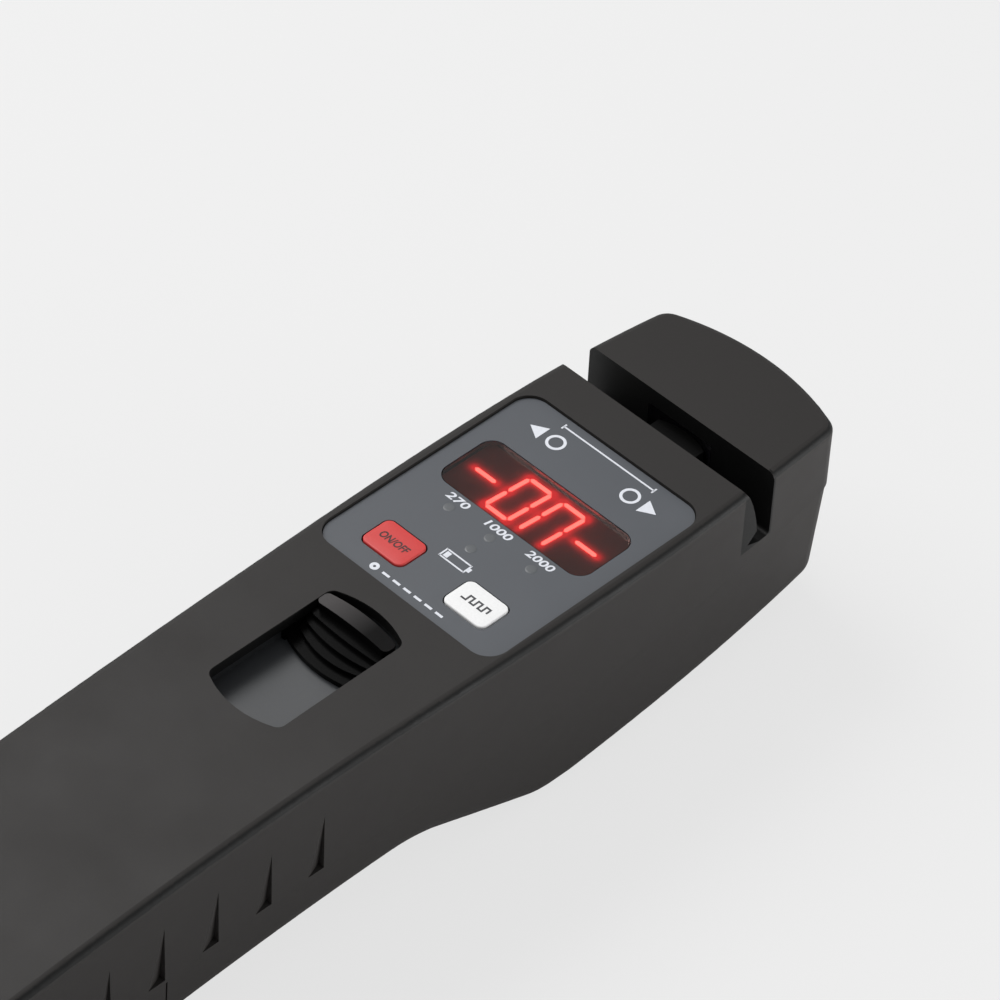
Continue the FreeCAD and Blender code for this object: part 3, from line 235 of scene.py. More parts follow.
def moulded_plastic(name, colour, roughness=0.5, grain=0.4, depth=0.02, spread=0.08, ior=1.53,
                    gloss=0.5):
    """Moulded plastic from a spark-eroded tool: a fine even grain, faint flow marks and handling
    shine. Such a grain is usually about 0.1 mm and is drawn coarser so that it shows; what it
    scatters away from the shine is taken off the gloss."""
    material, tree, surface, place = start_material(name)
    tint, cloud = mottled(tree, place, 14 * MM, shade(colour, 1 - spread), shade(colour, 1 + spread))
    fine, _ = mottled(tree, place, grain * MM, (0.86, 0.86, 0.86), (1.0, 1.0, 1.0), 2.0)
    both = add_node(tree, "ShaderNodeMix", {"Factor": 1.0}, data_type="RGBA", blend_type="MULTIPLY")
    tree.links.new(tint, both.inputs["A"])
    tree.links.new(fine, both.inputs["B"])
    tree.links.new(both.outputs["Result"], surface.inputs["Base Color"])
    tree.links.new(roughened(tree, cloud, roughness - 0.04, roughness + 0.05),
                   surface.inputs["Roughness"])
    tree.links.new(grained(tree, place, grain * MM, depth * MM, 0.5), surface.inputs["Normal"])
    surface.inputs["IOR"].default_value = ior
    surface.inputs["Specular IOR Level"].default_value = gloss
    return material


def inside_box(tree, place, low, high):
    """1 where a point of a piece lies between two corners, otherwise 0."""
    inside = 1.0
    for axis, start, end in zip("XYZ", low, high):
        near = add_node(tree, "ShaderNodeMath", {0: place.outputs[axis], 1: (start + end) / 2,
                                                 2: (end - start) / 2}, operation="COMPARE")
        so_far = add_node(tree, "ShaderNodeMath", {0: near.outputs[0], 1: inside},
                          operation="MULTIPLY")
        inside = so_far.outputs[0]
    return inside


def tinted_where(tree, surface, mask, colour):
    """Lays a colour over a surface's own where a mask is 1."""
    own = surface.inputs["Base Color"].links[0].from_socket
    mix = add_node(tree, "ShaderNodeMix", {"Factor": mask}, data_type="RGBA")
    tree.links.new(own, mix.inputs["A"])
    mix.inputs["B"].default_value = rgba(colour)
    tree.links.new(mix.outputs["Result"], surface.inputs["Base Color"])


def surface_of(material):
    tree = material.node_tree
    surface = next(n for n in tree.nodes if n.bl_idname == "ShaderNodeBsdfPrincipled")
    coordinates = next(n for n in tree.nodes if n.bl_idname == "ShaderNodeTexCoord")
    return tree, surface, coordinates


def casing_abs(colour):
    """Black ABS with a dull even grain. Its rounded long edges, its fibre slot and the walls of its
    thumb well get a darker tint by place, which stands in for the shade that gathers there."""
    material = moulded_plastic("Spark-eroded black ABS", colour, roughness=0.56, grain=0.4,
                               depth=0.02, spread=0.05, gloss=0.22)
    tree, surface, coordinates = surface_of(material)
    facing = add_node(tree, "ShaderNodeSeparateXYZ", {"Vector": coordinates.outputs["Normal"]})
    off = add_node(tree, "ShaderNodeMath", {0: facing.outputs["Z"], 1: EDGE_FACING},
                   operation="SUBTRACT")
    size = add_node(tree, "ShaderNodeMath", {0: off.outputs[0]}, operation="ABSOLUTE")
    edge = add_node(tree, "ShaderNodeMapRange",
                    {"Value": size.outputs[0], "From Min": EDGE_GONE, "From Max": EDGE_FULL,
                     "To Min": 0.0, "To Max": 1.0}, interpolation_type="SMOOTHSTEP")
    tinted_where(tree, surface, edge.outputs["Result"], linear("#040505"))
    place = add_node(tree, "ShaderNodeSeparateXYZ", {"Vector": coordinates.outputs["Object"]})
    rim = DECK_TOP - RIM_DROP
    slot_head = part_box("detector_block")[0][1] + SLOT_MARGIN
    slot_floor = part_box("fibre_anvil")[0][2] - SLOT_FLOOR_DROP
    side = CAD_BOUNDS[1][0] + SLOT_MARGIN
    slot = inside_box(tree, place, (-side, slot_head - SLOT_MOUTH - 2 * SLOT_MARGIN, slot_floor),
                      (side, slot_head, rim))
    tinted_where(tree, surface, slot, linear("#040404"))
    low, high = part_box("slider_tray")
    half = (high[0] - low[0]) / 2
    well = inside_box(tree, place, (-half, low[1], low[2]), (half, high[1], rim))
    upright = add_node(tree, "ShaderNodeMath", {0: facing.outputs["Z"], 1: 0.0, 2: UPRIGHT},
                       operation="COMPARE")
    wall = add_node(tree, "ShaderNodeMath", {0: well, 1: upright.outputs[0]}, operation="MULTIPLY")
    tinted_where(tree, surface, wall.outputs[0], linear("#040404"))
    return material


def slider_acetal(colour):
    """Satin black acetal. Its crest is paler toward -X, which stands in for the sheen on it."""
    material = moulded_plastic("Satin black acetal", colour, roughness=0.26, grain=0.5, depth=0.004,
                               spread=0.06, ior=1.48, gloss=0.06)
    tree, surface, coordinates = surface_of(material)
    place = add_node(tree, "ShaderNodeSeparateXYZ", {"Vector": coordinates.outputs["Object"]})
    low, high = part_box("thumb_slider")
    skin = 0.06 * MM
    crest = inside_box(tree, place, (low[0] - skin, low[1] - skin, high[2] - skin),
                       (high[0] + skin, high[1] + skin, high[2] + skin))
    fade = add_node(tree, "ShaderNodeMapRange", {"Value": place.outputs["X"], "From Min": -6 * MM,
                                                 "From Max": 3 * MM, "To Min": 1.0, "To Max": 0.06})
    share = add_node(tree, "ShaderNodeMath", {0: crest, 1: fade.outputs["Result"]},
                     operation="MULTIPLY")
    tinted_where(tree, surface, share.outputs[0], linear("#4a4848"))
    return material


def label_film(colour):
    """Velvet polyester film printed grey from behind: a fine even texture with a soft sheen."""
    material, tree, surface, place = start_material("Velvet polyester label film")
    tint, cloud = mottled(tree, place, 9 * MM, shade(colour, 0.95), shade(colour, 1.05))
    tree.links.new(tint, surface.inputs["Base Color"])
    tree.links.new(roughened(tree, cloud, 0.42, 0.5), surface.inputs["Roughness"])
    tree.links.new(grained(tree, place, 0.3 * MM, 0.008 * MM, 0.5), surface.inputs["Normal"])
    surface.inputs["IOR"].default_value = 1.6
    surface.inputs["Specular IOR Level"].default_value = 0.3
    return material


def screen_ink(name, colour):
    """Screen-printed ink: matt and opaque, a little thin where the mesh lifted off."""
    material, tree, surface, place = start_material(name)
    tint, cloud = mottled(tree, place, 0.5 * MM, shade(colour, 0.86), shade(colour, 1.04), 4.0)
    tree.links.new(tint, surface.inputs["Base Color"])
    tree.links.new(roughened(tree, cloud, 0.5, 0.65), surface.inputs["Roughness"])
    return material


def metal(name, colour, roughness, brush=(1.0, 1.0, 1.0), size=1.5):
    """A bare or plated metal with faint tool marks along one axis."""
    material, tree, surface, place = start_material(name)
    stretched = add_node(tree, "ShaderNodeMapping", {"Vector": place, "Scale": brush})
    tint, marks = mottled(tree, stretched.outputs["Vector"], size * MM, shade(colour, 0.85),
                          shade(colour, 1.05), 5.0)
    tree.links.new(tint, surface.inputs["Base Color"])
    tree.links.new(roughened(tree, marks, roughness - 0.06, roughness + 0.08),
                   surface.inputs["Roughness"])
    surface.inputs["Metallic"].default_value = 1.0
    return material


def smoked_acrylic():
    """Polished acrylic tinted dark red-brown, so that only the lit segments read through it."""
    material, tree, surface, place = start_material("Polished smoked acrylic")
    tint, cloud = mottled(tree, place, 12 * MM, linear("#866662"), linear("#90706a"), 1.0)
    tree.links.new(tint, surface.inputs["Base Color"])
    tree.links.new(roughened(tree, cloud, 0.03, 0.06), surface.inputs["Roughness"])
    surface.inputs["IOR"].default_value = 1.49
    surface.inputs["Transmission Weight"].default_value = 1.0
    return material


def circuit_board(name):
    """Glass-epoxy board under green solder mask, with the weave just showing through."""
    material, tree, surface, place = start_material(name)
    weave = add_node(tree, "ShaderNodeTexChecker", {"Vector": place, "Scale": 1 / (0.8 * MM)})
    weave.inputs["Color1"].default_value = rgba(linear("#1c5a35"))
    weave.inputs["Color2"].default_value = rgba(linear("#206239"))
    tree.links.new(weave.outputs["Color"], surface.inputs["Base Color"])
    _, cloud = mottled(tree, place, 3 * MM, (0, 0, 0), (1, 1, 1))
    tree.links.new(roughened(tree, cloud, 0.25, 0.4), surface.inputs["Roughness"])
    return material


def diffused_light(name, core, halo, strength):
    """Diffused red epoxy over a light source, with light spreading at its edges by a vertex value."""
    material, tree, surface, place = start_material(name)
    spread = add_node(tree, "ShaderNodeAttribute", attribute_name="light")
    ramp = add_node(tree, "ShaderNodeMix", {"Factor": spread.outputs["Fac"]}, data_type="RGBA")
    ramp.inputs["A"].default_value = rgba(halo)
    ramp.inputs["B"].default_value = rgba(core)
    grain = add_node(tree, "ShaderNodeTexNoise", {"Vector": place, "Scale": 1 / (0.5 * MM)})
    grain_span = add_node(tree, "ShaderNodeMapRange", {"Value": grain.outputs["Fac"],
                                                       "To Min": 0.9, "To Max": 1.1})
    level = add_node(tree, "ShaderNodeMath", {0: spread.outputs["Fac"],
                                              1: grain_span.outputs["Result"]}, operation="MULTIPLY")
    power = add_node(tree, "ShaderNodeMath", {0: level.outputs[0], 1: strength},
                     operation="MULTIPLY")
    tree.links.new(ramp.outputs["Result"], surface.inputs["Emission Color"])
    tree.links.new(power.outputs[0], surface.inputs["Emission Strength"])
    surface.inputs["Base Color"].default_value = rgba(linear("#c09a8a"))
    surface.inputs["Roughness"].default_value = 0.5
    return material


# ---- pieces -------------------------------------------------------------------------------------
def as_piece(name, mesh, body, materials):
    """Puts a finished mesh in the scene as a piece of a body."""
    piece = bpy.data.objects.new(name, mesh)
    bpy.context.scene.collection.objects.link(piece)
    mesh.materials.clear()
    for material in materials:
        mesh.materials.append(material)
    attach(piece, body)
    return piece


def finish_node(node, material):
    """Gives a CAD node its material."""
    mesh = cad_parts[node].data
    if mesh.materials:
        for index in range(len(mesh.materials)):
            mesh.materials[index] = material
    else:
        mesh.materials.append(material)


def smooth(mesh, angle):
    """Smooth shading, with edges kept sharp past an angle in degrees."""
    mesh.polygons.foreach_set("use_smooth", [True] * len(mesh.polygons))
    mesh.set_sharp_from_angle(angle=math.radians(angle))


def mesh_from(name, bm, recalculate=True):
    bmesh.ops.remove_doubles(bm, verts=bm.verts, dist=1e-7)
    if recalculate:
        bmesh.ops.recalc_face_normals(bm, faces=bm.faces)
    mesh = bpy.data.meshes.new(name)
    bm.to_mesh(mesh)
    bm.free()
    return mesh


def add_prism(bm, outline, bottom, top):
    """A flat mark: a closed outline raised between two heights."""
    low = [bm.verts.new((x, y, bottom)) for x, y in outline]
    high = [bm.verts.new((x, y, top)) for x, y in outline]
    bm.faces.new(high)
    bm.faces.new(low[::-1])
    count = len(outline)
    for i in range(count):
        j = (i + 1) % count
        bm.faces.new((low[i], low[j], high[j], high[i]))


def add_ring(bm, centre, inner, outer, bottom, top, sides=48):
    loops = []
    for radius, height in ((inner, bottom), (outer, bottom), (outer, top), (inner, top)):
        loops.append([bm.verts.new((centre[0] + radius * math.cos(2 * math.pi * i / sides),
                                    centre[1] + radius * math.sin(2 * math.pi * i / sides), height))
                      for i in range(sides)])
    for a, b in zip(loops, loops[1:] + loops[:1]):
        for i in range(sides):
            j = (i + 1) % sides
            bm.faces.new((a[i], a[j], b[j], b[i]))


def add_bar(bm, x, y, width, height, bottom, top):
    add_prism(bm, [(x - width / 2, y - height / 2), (x + width / 2, y - height / 2),
                   (x + width / 2, y + height / 2), (x - width / 2, y + height / 2)], bottom, top)


def text_mesh(body, height, width, centre, bottom, thickness, shear, bold):
    """Plain numerals or letters as a mesh, fitted to a height and a width, on a level surface."""
    curve = bpy.data.curves.new("numerals", "FONT")
    curve.body = body
    curve.size = 1.0
    curve.offset = bold
    curve.extrude = 0.5
    curve.resolution_u = 4
    holder = bpy.data.objects.new("numerals", curve)
    bpy.context.scene.collection.objects.link(holder)
    mesh = bpy.data.meshes.new_from_object(holder)
    bpy.data.objects.remove(holder)
    bpy.data.curves.remove(curve)
    xs = [v.co.x for v in mesh.vertices]
    ys = [v.co.y for v in mesh.vertices]
    fit_x = width / (max(xs) - min(xs))
    fit_y = height / (max(ys) - min(ys))
    mid_x = (max(xs) + min(xs)) / 2
    mid_y = (max(ys) + min(ys)) / 2
    for vertex in mesh.vertices:
        x, y, z = vertex.co
        y = (y - mid_y) * fit_y
        vertex.co = (centre[0] + (x - mid_x) * fit_x + y * shear, centre[1] + y,
                     bottom + (z + 0.5) * thickness)
    return mesh


def rounded_outline(width, depth, radius, steps=8):
    """Points round a rectangle with rounded corners, counter-clockwise, about the origin."""
    points = []
    for turn, (sx, sy) in enumerate(((1, 1), (-1, 1), (-1, -1), (1, -1))):
        cx = sx * (width / 2 - radius)
        cy = sy * (depth / 2 - radius)
        for step in range(steps + 1):
            angle = math.pi / 2 * (turn + step / steps)
            points.append((cx + radius * math.cos(angle), cy + radius * math.sin(angle)))
    return points


def add_loft(bm, rings):
    """Joins rings of equal point counts, given from the bottom up, and closes both ends."""
    loops = [[bm.verts.new(point) for point in ring] for ring in rings]
    for low, high in zip(loops, loops[1:]):
        count = len(low)
        for i in range(count):
            j = (i + 1) % count
            bm.faces.new((low[i], low[j], high[j], high[i]))
    bm.faces.new(loops[0][::-1])
    bm.faces.new(loops[-1])


def evaluated_mesh(holder):
    """The result of an object's modifiers as a plain mesh; the object goes."""
    graph = bpy.context.evaluated_depsgraph_get()
    mesh = bpy.data.meshes.new_from_object(holder.evaluated_get(graph))
    holder.modifiers.clear()
    bpy.data.objects.remove(holder)
    return mesh


def node_group(name, sockets):
    """An empty geometry tree with named inputs."""
    group = bpy.data.node_groups.new(name, "GeometryNodeTree")
    group.interface.new_socket(name="Geometry", in_out="INPUT", socket_type="NodeSocketGeometry")
    for label, kind, value in sockets:
        socket = group.interface.new_socket(name=label, in_out="INPUT", socket_type=kind)
        if value is not None:
            socket.default_value = value
    group.interface.new_socket(name="Geometry", in_out="OUTPUT", socket_type="NodeSocketGeometry")
    return group


def run_group(name, points, group, values):
    """Runs a geometry tree on a cloud of points and returns the plain mesh."""
    cloud = bpy.data.meshes.new(name)
    cloud.from_pydata(points, [], [])
    holder = bpy.data.objects.new(name, cloud)
    bpy.context.scene.collection.objects.link(holder)
    modifier = holder.modifiers.new(name, "NODES")
    modifier.node_group = group
    for item in group.interface.items_tree:
        if item.item_type == "SOCKET" and item.in_out == "INPUT" and item.name in values:
            modifier[item.identifier] = values[item.name]
    holder.update_tag()
    return evaluated_mesh(holder)


def repeated(name, template, points, material):
    """Copies of one small mesh at points, made real, by a geometry tree."""
    group = node_group(name + " tree", (
        ("Template", "NodeSocketObject", None),
        ("Size", "NodeSocketFloat", 1.0),
        ("Finish", "NodeSocketMaterial", None),
    ))
    entry = add_node(group, "NodeGroupInput")
    info = add_node(group, "GeometryNodeObjectInfo", {"Object": entry.outputs["Template"]})
    copies = add_node(group, "GeometryNodeInstanceOnPoints", {
        "Points": entry.outputs["Geometry"], "Instance": info.outputs["Geometry"],
        "Scale": entry.outputs["Size"]})
    real = add_node(group, "GeometryNodeRealizeInstances", {"Geometry": copies.outputs["Instances"]})
    dressed = add_node(group, "GeometryNodeSetMaterial", {"Geometry": real.outputs["Geometry"],
                                                          "Material": entry.outputs["Finish"]})
    add_node(group, "NodeGroupOutput", {"Geometry": dressed.outputs["Geometry"]})
    holder = bpy.data.objects.new(name + " template", template)
    bpy.context.scene.collection.objects.link(holder)
    mesh = run_group(name, points, group, {"Template": holder, "Finish": material})
    bpy.data.objects.remove(holder)
    return mesh


# ---- label --------------------------------------------------------------------------------------
# the marks' places and sizes in millimetres, from the display's centre
RINGS_UP = 12.56
ARROW = ((10.9, 10.9), (13.7, 12.5), (10.9, 14.1))
STRAND_UP = 16.1
STRAND_LENGTH = 19.6
STRAND_LINE = 0.3
STRAND_END = 1.2
NUMBERS_UP = -7.75
NUMBERS = (("270", -9.0, 4.4), ("1000", -0.1, 5.2), ("2000", 8.9, 5.4))
NUMBER_LEAN = 0.18
CELL_UP = -17.2
CELL_LENGTH = 5.2
CELL_HEIGHT = 1.8
CELL_LINE = 0.28
BEAM_UP = -27.1
BEAM_SOURCE = -7.4
DASH_START = -4.9
DASH_PITCH = 2.3
DASH_COUNT = 6
WINDOW_SPOTS = ((-8.95, -9.8), (0.07, -9.9), (9.1, -10.0), (-0.2, -13.7))
WINDOW_RADIUS = 0.95 * MM


def on_label(x, y):
    """A place on the label from the display's centre, in millimetres."""
    return DISPLAY.x + x * MM, DISPLAY.y + y * MM


def label_marks(sizes):
    """Rings, arrows, a scale of three frequencies, a cell sign and a beam sign in white ink."""
    bottom = LABEL_TOP + LIFT
    top = LABEL_TOP + sizes.ink_height
    bm = bmesh.new()

    def bar(x, y, width, height):
        add_bar(bm, *on_label(x, y), width * MM, height * MM, bottom, top)

    for side in (-1, 1):
        centre = (DISPLAY.x + side * sizes.ring_spacing / 2, DISPLAY.y + RINGS_UP * MM)
        add_ring(bm, centre, sizes.ring_radius - sizes.ring_line / 2,
                 sizes.ring_radius + sizes.ring_line / 2, bottom, top)
        arrow = [on_label(side * x, y) for x, y in ARROW]
        add_prism(bm, arrow if side > 0 else arrow[::-1], bottom, top)
    # a strand between the rings: a plain line with a short bar across each end
    bar(0, STRAND_UP, STRAND_LENGTH, STRAND_LINE)
    for side in (-1, 1):
        bar(side * STRAND_LENGTH / 2, STRAND_UP, STRAND_LINE, STRAND_END)
    # a cell that is nearly empty: its outline, its pole and a little charge
    for side in (-1, 1):
        bar(0, CELL_UP + side * CELL_HEIGHT / 2, CELL_LENGTH, CELL_LINE)
        bar(side * CELL_LENGTH / 2, CELL_UP, CELL_LINE, CELL_HEIGHT + CELL_LINE)
    bar(CELL_LENGTH / 2 + 0.4, CELL_UP, 0.5, 0.9)
    bar(0.85 - CELL_LENGTH / 2, CELL_UP, 0.9, 1.2)
    # a beam: a source dot and dashes that leave it
    add_ring(bm, on_label(BEAM_SOURCE, BEAM_UP), 0.25 * MM, 0.8 * MM, bottom, top, 32)
    for step in range(DASH_COUNT):
        bar(DASH_START + DASH_PITCH * step, BEAM_UP, 1.5, 0.45)
    marks = mesh_from("printed_marks", bm)
    numbers = [text_mesh(text, sizes.number_height, width * MM, on_label(x, NUMBERS_UP), bottom,
                         top - bottom, NUMBER_LEAN, 0.02) for text, x, width in NUMBERS]
    return joined("printed_marks", [marks] + numbers)


def joined(name, meshes):
    bm = bmesh.new()
    for mesh in meshes:
        bm.from_mesh(mesh)
        bpy.data.meshes.remove(mesh)
    mesh = bpy.data.meshes.new(name)
    bm.to_mesh(mesh)
    bm.free()
    return mesh


def lamp_window(radius):
    """A small clear window in the label over a lamp: a shallow dome."""
    bm = bmesh.new()
    rings = []
    for share, height in ((1.0, 0.0), (0.96, 0.02), (0.7, 0.035), (0.3, 0.045)):
        rings.append([(radius * share * math.cos(a), radius * share * math.sin(a), height * MM)
                      for a in [2 * math.pi * i / 28 for i in range(28)]])
    add_loft(bm, rings)
    return mesh_from("lamp_window", bm)


class FIBRE_OT_label(bpy.types.Operator):
    """Makes the label's film, its printed marks and its lamp windows"""

    bl_idname = "fibre_identifier.label"
    bl_label = "Label"

    def execute(self, context):
        colours = context.scene.finish_colours
        sizes = context.scene.panel_sizes
        finish_node("control_label", label_film(colours.label))
        marks = label_marks(sizes)
        smooth(marks, 30)
        as_piece("printed_marks", marks, "housing",
                 [screen_ink("White screen ink", colours.ink)])
        glass = moulded_plastic("Clear grey lamp window", linear("#54575a"), 0.4, 0.3, 0.004, 0.03)
        points = [(*on_label(x, y), LABEL_TOP + LIFT) for x, y in WINDOW_SPOTS]
        windows = repeated("lamp_windows", lamp_window(WINDOW_RADIUS), points, glass)
        smooth(windows, 60)
        as_piece("lamp_windows", windows, "housing", [glass])
        return {"FINISHED"}


# ---- display ------------------------------------------------------------------------------------
# the bars that are lit in each digit, from the left
READING = ("g", "abcdef", "abcef", "g")
# the filter sheet lies this far above the segments' feet, over the dark ones
FACE_SHEET = 0.02 * MM
SEGMENT_GAP = 0.14 * MM
# light falls off round a lit bar within a short reach, and a faint haze goes further
GLOW_REACH = 0.6 * MM
GLOW_FALL = 1.2
HAZE_REACH = 2.4 * MM
HAZE_SHARE = 0.03


def bar_lines(sizes):
    """Each bar of each digit as (digit, letter, start, end) about the display's centre."""
    span = sizes.digit_width - sizes.segment_width
    rise = (sizes.digit_height - sizes.segment_width) / 2
    ends = {"a": ((-span / 2, rise), (span / 2, rise)), "g": ((-span / 2, 0), (span / 2, 0)),
            "d": ((-span / 2, -rise), (span / 2, -rise)), "b": ((span / 2, rise), (span / 2, 0)),
            "c": ((span / 2, 0), (span / 2, -rise)), "f": ((-span / 2, rise), (-span / 2, 0)),
            "e": ((-span / 2, 0), (-span / 2, -rise))}
    lines = []
    for digit in range(len(READING)):
        centre = (digit - (len(READING) - 1) / 2) * sizes.digit_pitch
        for letter, ((x0, y0), (x1, y1)) in ends.items():
            lean = math.tan(sizes.digit_slant)
            start = Vector((centre + x0 + y0 * lean, y0))
            end = Vector((centre + x1 + y1 * lean, y1))
            lines.append((digit, letter, start, end))
    return lines


def add_segment(bm, start, end, width, bottom, top, light):
    """A bar with pointed ends between two places on the display."""
    along = (end - start).normalized()
    across = Vector((-along.y, along.x)) * width / 2
    tip = along * width / 2
    a = start + along * SEGMENT_GAP
    b = end - along * SEGMENT_GAP
    outline = [a, a + tip - across, b - tip - across, b, b - tip + across, a + tip + across]
    before = len(bm.verts)
    add_prism(bm, [(DISPLAY.x + p.x, DISPLAY.y + p.y) for p in outline], bottom, top)
    bm.verts.ensure_lookup_table()
    for vertex in bm.verts[before:]:
        vertex[light] = 1.0


def display_digits(sizes, lit):
    """All the bars that are lit, or all that are dark."""
    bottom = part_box("display_segments")[0][2]
    top = top_of("display_segments") if lit else bottom + FACE_SHEET / 2
    bm = bmesh.new()
    light = bm.verts.layers.float.new("light")
    for digit, letter, start, end in bar_lines(sizes):
        if (letter in READING[digit]) == lit:
            add_segment(bm, start, end, sizes.segment_width, bottom, top, light)
    return mesh_from("digits", bm)


def glow_sheet(sizes):
    """The display's face plate, whose vertices hold how much light reaches them."""
    low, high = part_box("display_lens")
    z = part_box("display_segments")[0][2] + FACE_SHEET
    columns = 150
    rows = 60
    lit = [(start, end) for digit, letter, start, end in bar_lines(sizes)
           if letter in READING[digit]]
    bm = bmesh.new()
    light = bm.verts.layers.float.new("light")
    inset = 0.25 * MM
    grid = []
    for row in range(rows + 1):
        line = []
        for column in range(columns + 1):
            x = low[0] + inset + (high[0] - low[0] - 2 * inset) * column / columns
            y = low[1] + inset + (high[1] - low[1] - 2 * inset) * row / rows
            vertex = bm.verts.new((x, y, z))
            here = Vector((x - DISPLAY.x, y - DISPLAY.y))
            total = 0.0
            for start, end in lit:
                along = end - start
                share = max(0.0, min(1.0, (here - start).dot(along) / along.length_squared))
                gap = max(0.0, (here - start - along * share).length - sizes.segment_width / 2)
                total += math.exp(-(gap / GLOW_REACH) ** GLOW_FALL)
                total += HAZE_SHARE * math.exp(-gap / HAZE_REACH)
            vertex[light] = min(1.0, total)
            line.append(vertex)
        grid.append(line)
    for below, above in zip(grid, grid[1:]):
        for i in range(columns):
            bm.faces.new((below[i], below[i + 1], above[i + 1], above[i]))
    return mesh_from("display_glow", bm, recalculate=False)


class FIBRE_OT_display(bpy.types.Operator):
    """Makes the smoked lens, the display's face and its lit and dark segments"""

    bl_idname = "fibre_identifier.display"
    bl_label = "Display"

    def execute(self, context):
        colours = context.scene.finish_colours
        sizes = context.scene.panel_sizes
        finish_node("display_lens", smoked_acrylic())
        finish_node("display_module", moulded_plastic("Potted display module", linear("#2a1d1b"),
                                                      0.45, 0.3, 0.01))
        lit = diffused_light("Diffused red epoxy, lit", colours.lit, colours.glow, 9.0)
        glow = diffused_light("Red filter face with stray light", colours.glow,
                              shade(colours.glow, 0.7), 3.0)
        dark = moulded_plastic("Diffused red epoxy, dark", linear("#3a2322"), 0.4, 0.3, 0.005)
        bars = as_piece("lit_segments", display_digits(sizes, True), "housing",
                        [lit])
        as_piece("dark_segments", display_digits(sizes, False), "housing",
                 [dark])
        as_piece("display_glow", glow_sheet(sizes), "housing", [glow])
        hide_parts("display_segments")
        return {"FINISHED"}


# ---- keys ---------------------------------------------------------------------------------------
def key_cap(node, edge, proud):
    """A key's cap with a soft upper edge and a slight crown, over its flange and stem."""
    low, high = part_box(node)
    centre = (Vector(low) + Vector(high)) / 2
    flange = 0.9 * MM
    flange_height = 1.1 * MM
    foot = 0.3 * MM
    crown = 0.05 * MM
    stem_radius = 1.8 * MM
    edge_steps = 6
    width = high[0] - low[0] - 2 * flange
    depth = high[1] - low[1] - 2 * flange
    radius = 1.3 * MM
    top = LABEL_TOP + proud
    deck_wall = 2.1 * MM
    seat = top_of("upper_shell") - deck_wall
    bm = bmesh.new()
    rings = []

    def ring(inset, height, grow=0.0):
        outline = rounded_outline(width + 2 * grow - 2 * inset, depth + 2 * grow - 2 * inset,
                                  max(radius + grow - inset, 0.2 * MM))
        return [(centre.x + x, centre.y + y, height) for x, y in outline]

    rings.append(ring(0, seat - flange_height, flange))
    rings.append(ring(0, seat, flange))
    rings.append(ring(0, seat))
    rings.append(ring(0, seat + foot))
    rings.append(ring(0, top - edge - crown))
    for step in range(1, edge_steps + 1):
        angle = math.pi / 2 * step / edge_steps
        rings.append(ring(edge * (1 - math.cos(angle)), top - crown - edge * (1 - math.sin(angle))))
    rings.append(ring(1.4 * MM, top - 0.012 * MM))
    rings.append(ring(2.3 * MM, top))
    add_loft(bm, rings)
    turns = [2 * math.pi * i / 32 for i in range(32)]
    stem = [[(centre.x + stem_radius * math.cos(a), centre.y + stem_radius * math.sin(a), height)
             for a in turns] for height in (low[2], seat - flange_height)]
    add_loft(bm, stem)
    mesh = mesh_from(node + "_cap", bm)
    smooth(mesh, 40)
    return mesh, centre, top


def pulse_sign(centre, top):
    """A square wave with three pulses."""
    bm = bmesh.new()
    bottom = top + 0.001 * MM
    high = top + 0.02 * MM
    line = 0.32 * MM
    count = 3
    pitch = 1.7 * MM
    rise = 1.2 * MM
    for step in range(count):
        left = centre.x + pitch * (step - count / 2)
        for across, side in ((0.42 * MM, -1), (1.27 * MM, 1)):
            add_bar(bm, left + across, centre.y + side * rise / 2, pitch / 2 + line, line, bottom,
                    high)
        for across in (pitch / 2, pitch):
            add_bar(bm, left + across, centre.y, line, rise - line, bottom, high)
    return mesh_from("pulse_sign", bm)


class FIBRE_OT_keys(bpy.types.Operator):
    """Makes the red power key, the white pulse key and their marks"""

    bl_idname = "fibre_identifier.keys"
    bl_label = "Keys"

    def execute(self, context):
        colours = context.scene.finish_colours
        sizes = context.scene.panel_sizes
        finishes = (("power_key", moulded_plastic("Moulded red silicone", colours.power_key, 0.42,
                                                  0.35, 0.01, 0.04, 1.45)),
                    ("pulse_key", moulded_plastic("Moulded white silicone", colours.pulse_key, 0.42,
                                                  0.35, 0.01, 0.02, 1.45)))
        caps = {}
        for node, material in finishes:
            mesh, centre, top = key_cap(node, sizes.key_round, sizes.key_proud)
            piece = as_piece(node + "_cap", mesh, node, [material])
            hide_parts(node)
            caps[node] = (centre, top)
        centre, top = caps["power_key"]
        word = text_mesh("ON/OFF", 1.5 * MM, 5.8 * MM, (centre.x, centre.y), top + 0.001 * MM,
                         0.02 * MM, 0.1, 0.025)
        as_piece("power_key_mark", word, "power_key",
                 [screen_ink("Dark key ink", colours.key_ink)])
        centre, top = caps["pulse_key"]
        as_piece("pulse_key_mark", pulse_sign(centre, top), "pulse_key",
                 [screen_ink("Grey key ink", linear("#3c3c40"))])
        finish_node("key_switches", moulded_plastic("Black nylon switch body", linear("#202020")))
        return {"FINISHED"}


# ---- slider -------------------------------------------------------------------------------------
def return_spring(material):
    """The coil as a piece of its own on the housing: its tail end stays against the housing's stop."""
    bm = bmesh.new()
    bm.from_mesh(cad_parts["return_spring"].data)
    mesh = mesh_from("return_spring_coil", bm, recalculate=False)
    smooth(mesh, 60)
    piece = as_piece("return_spring_coil", mesh, "housing", [material])
    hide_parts("return_spring")
    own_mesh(piece)


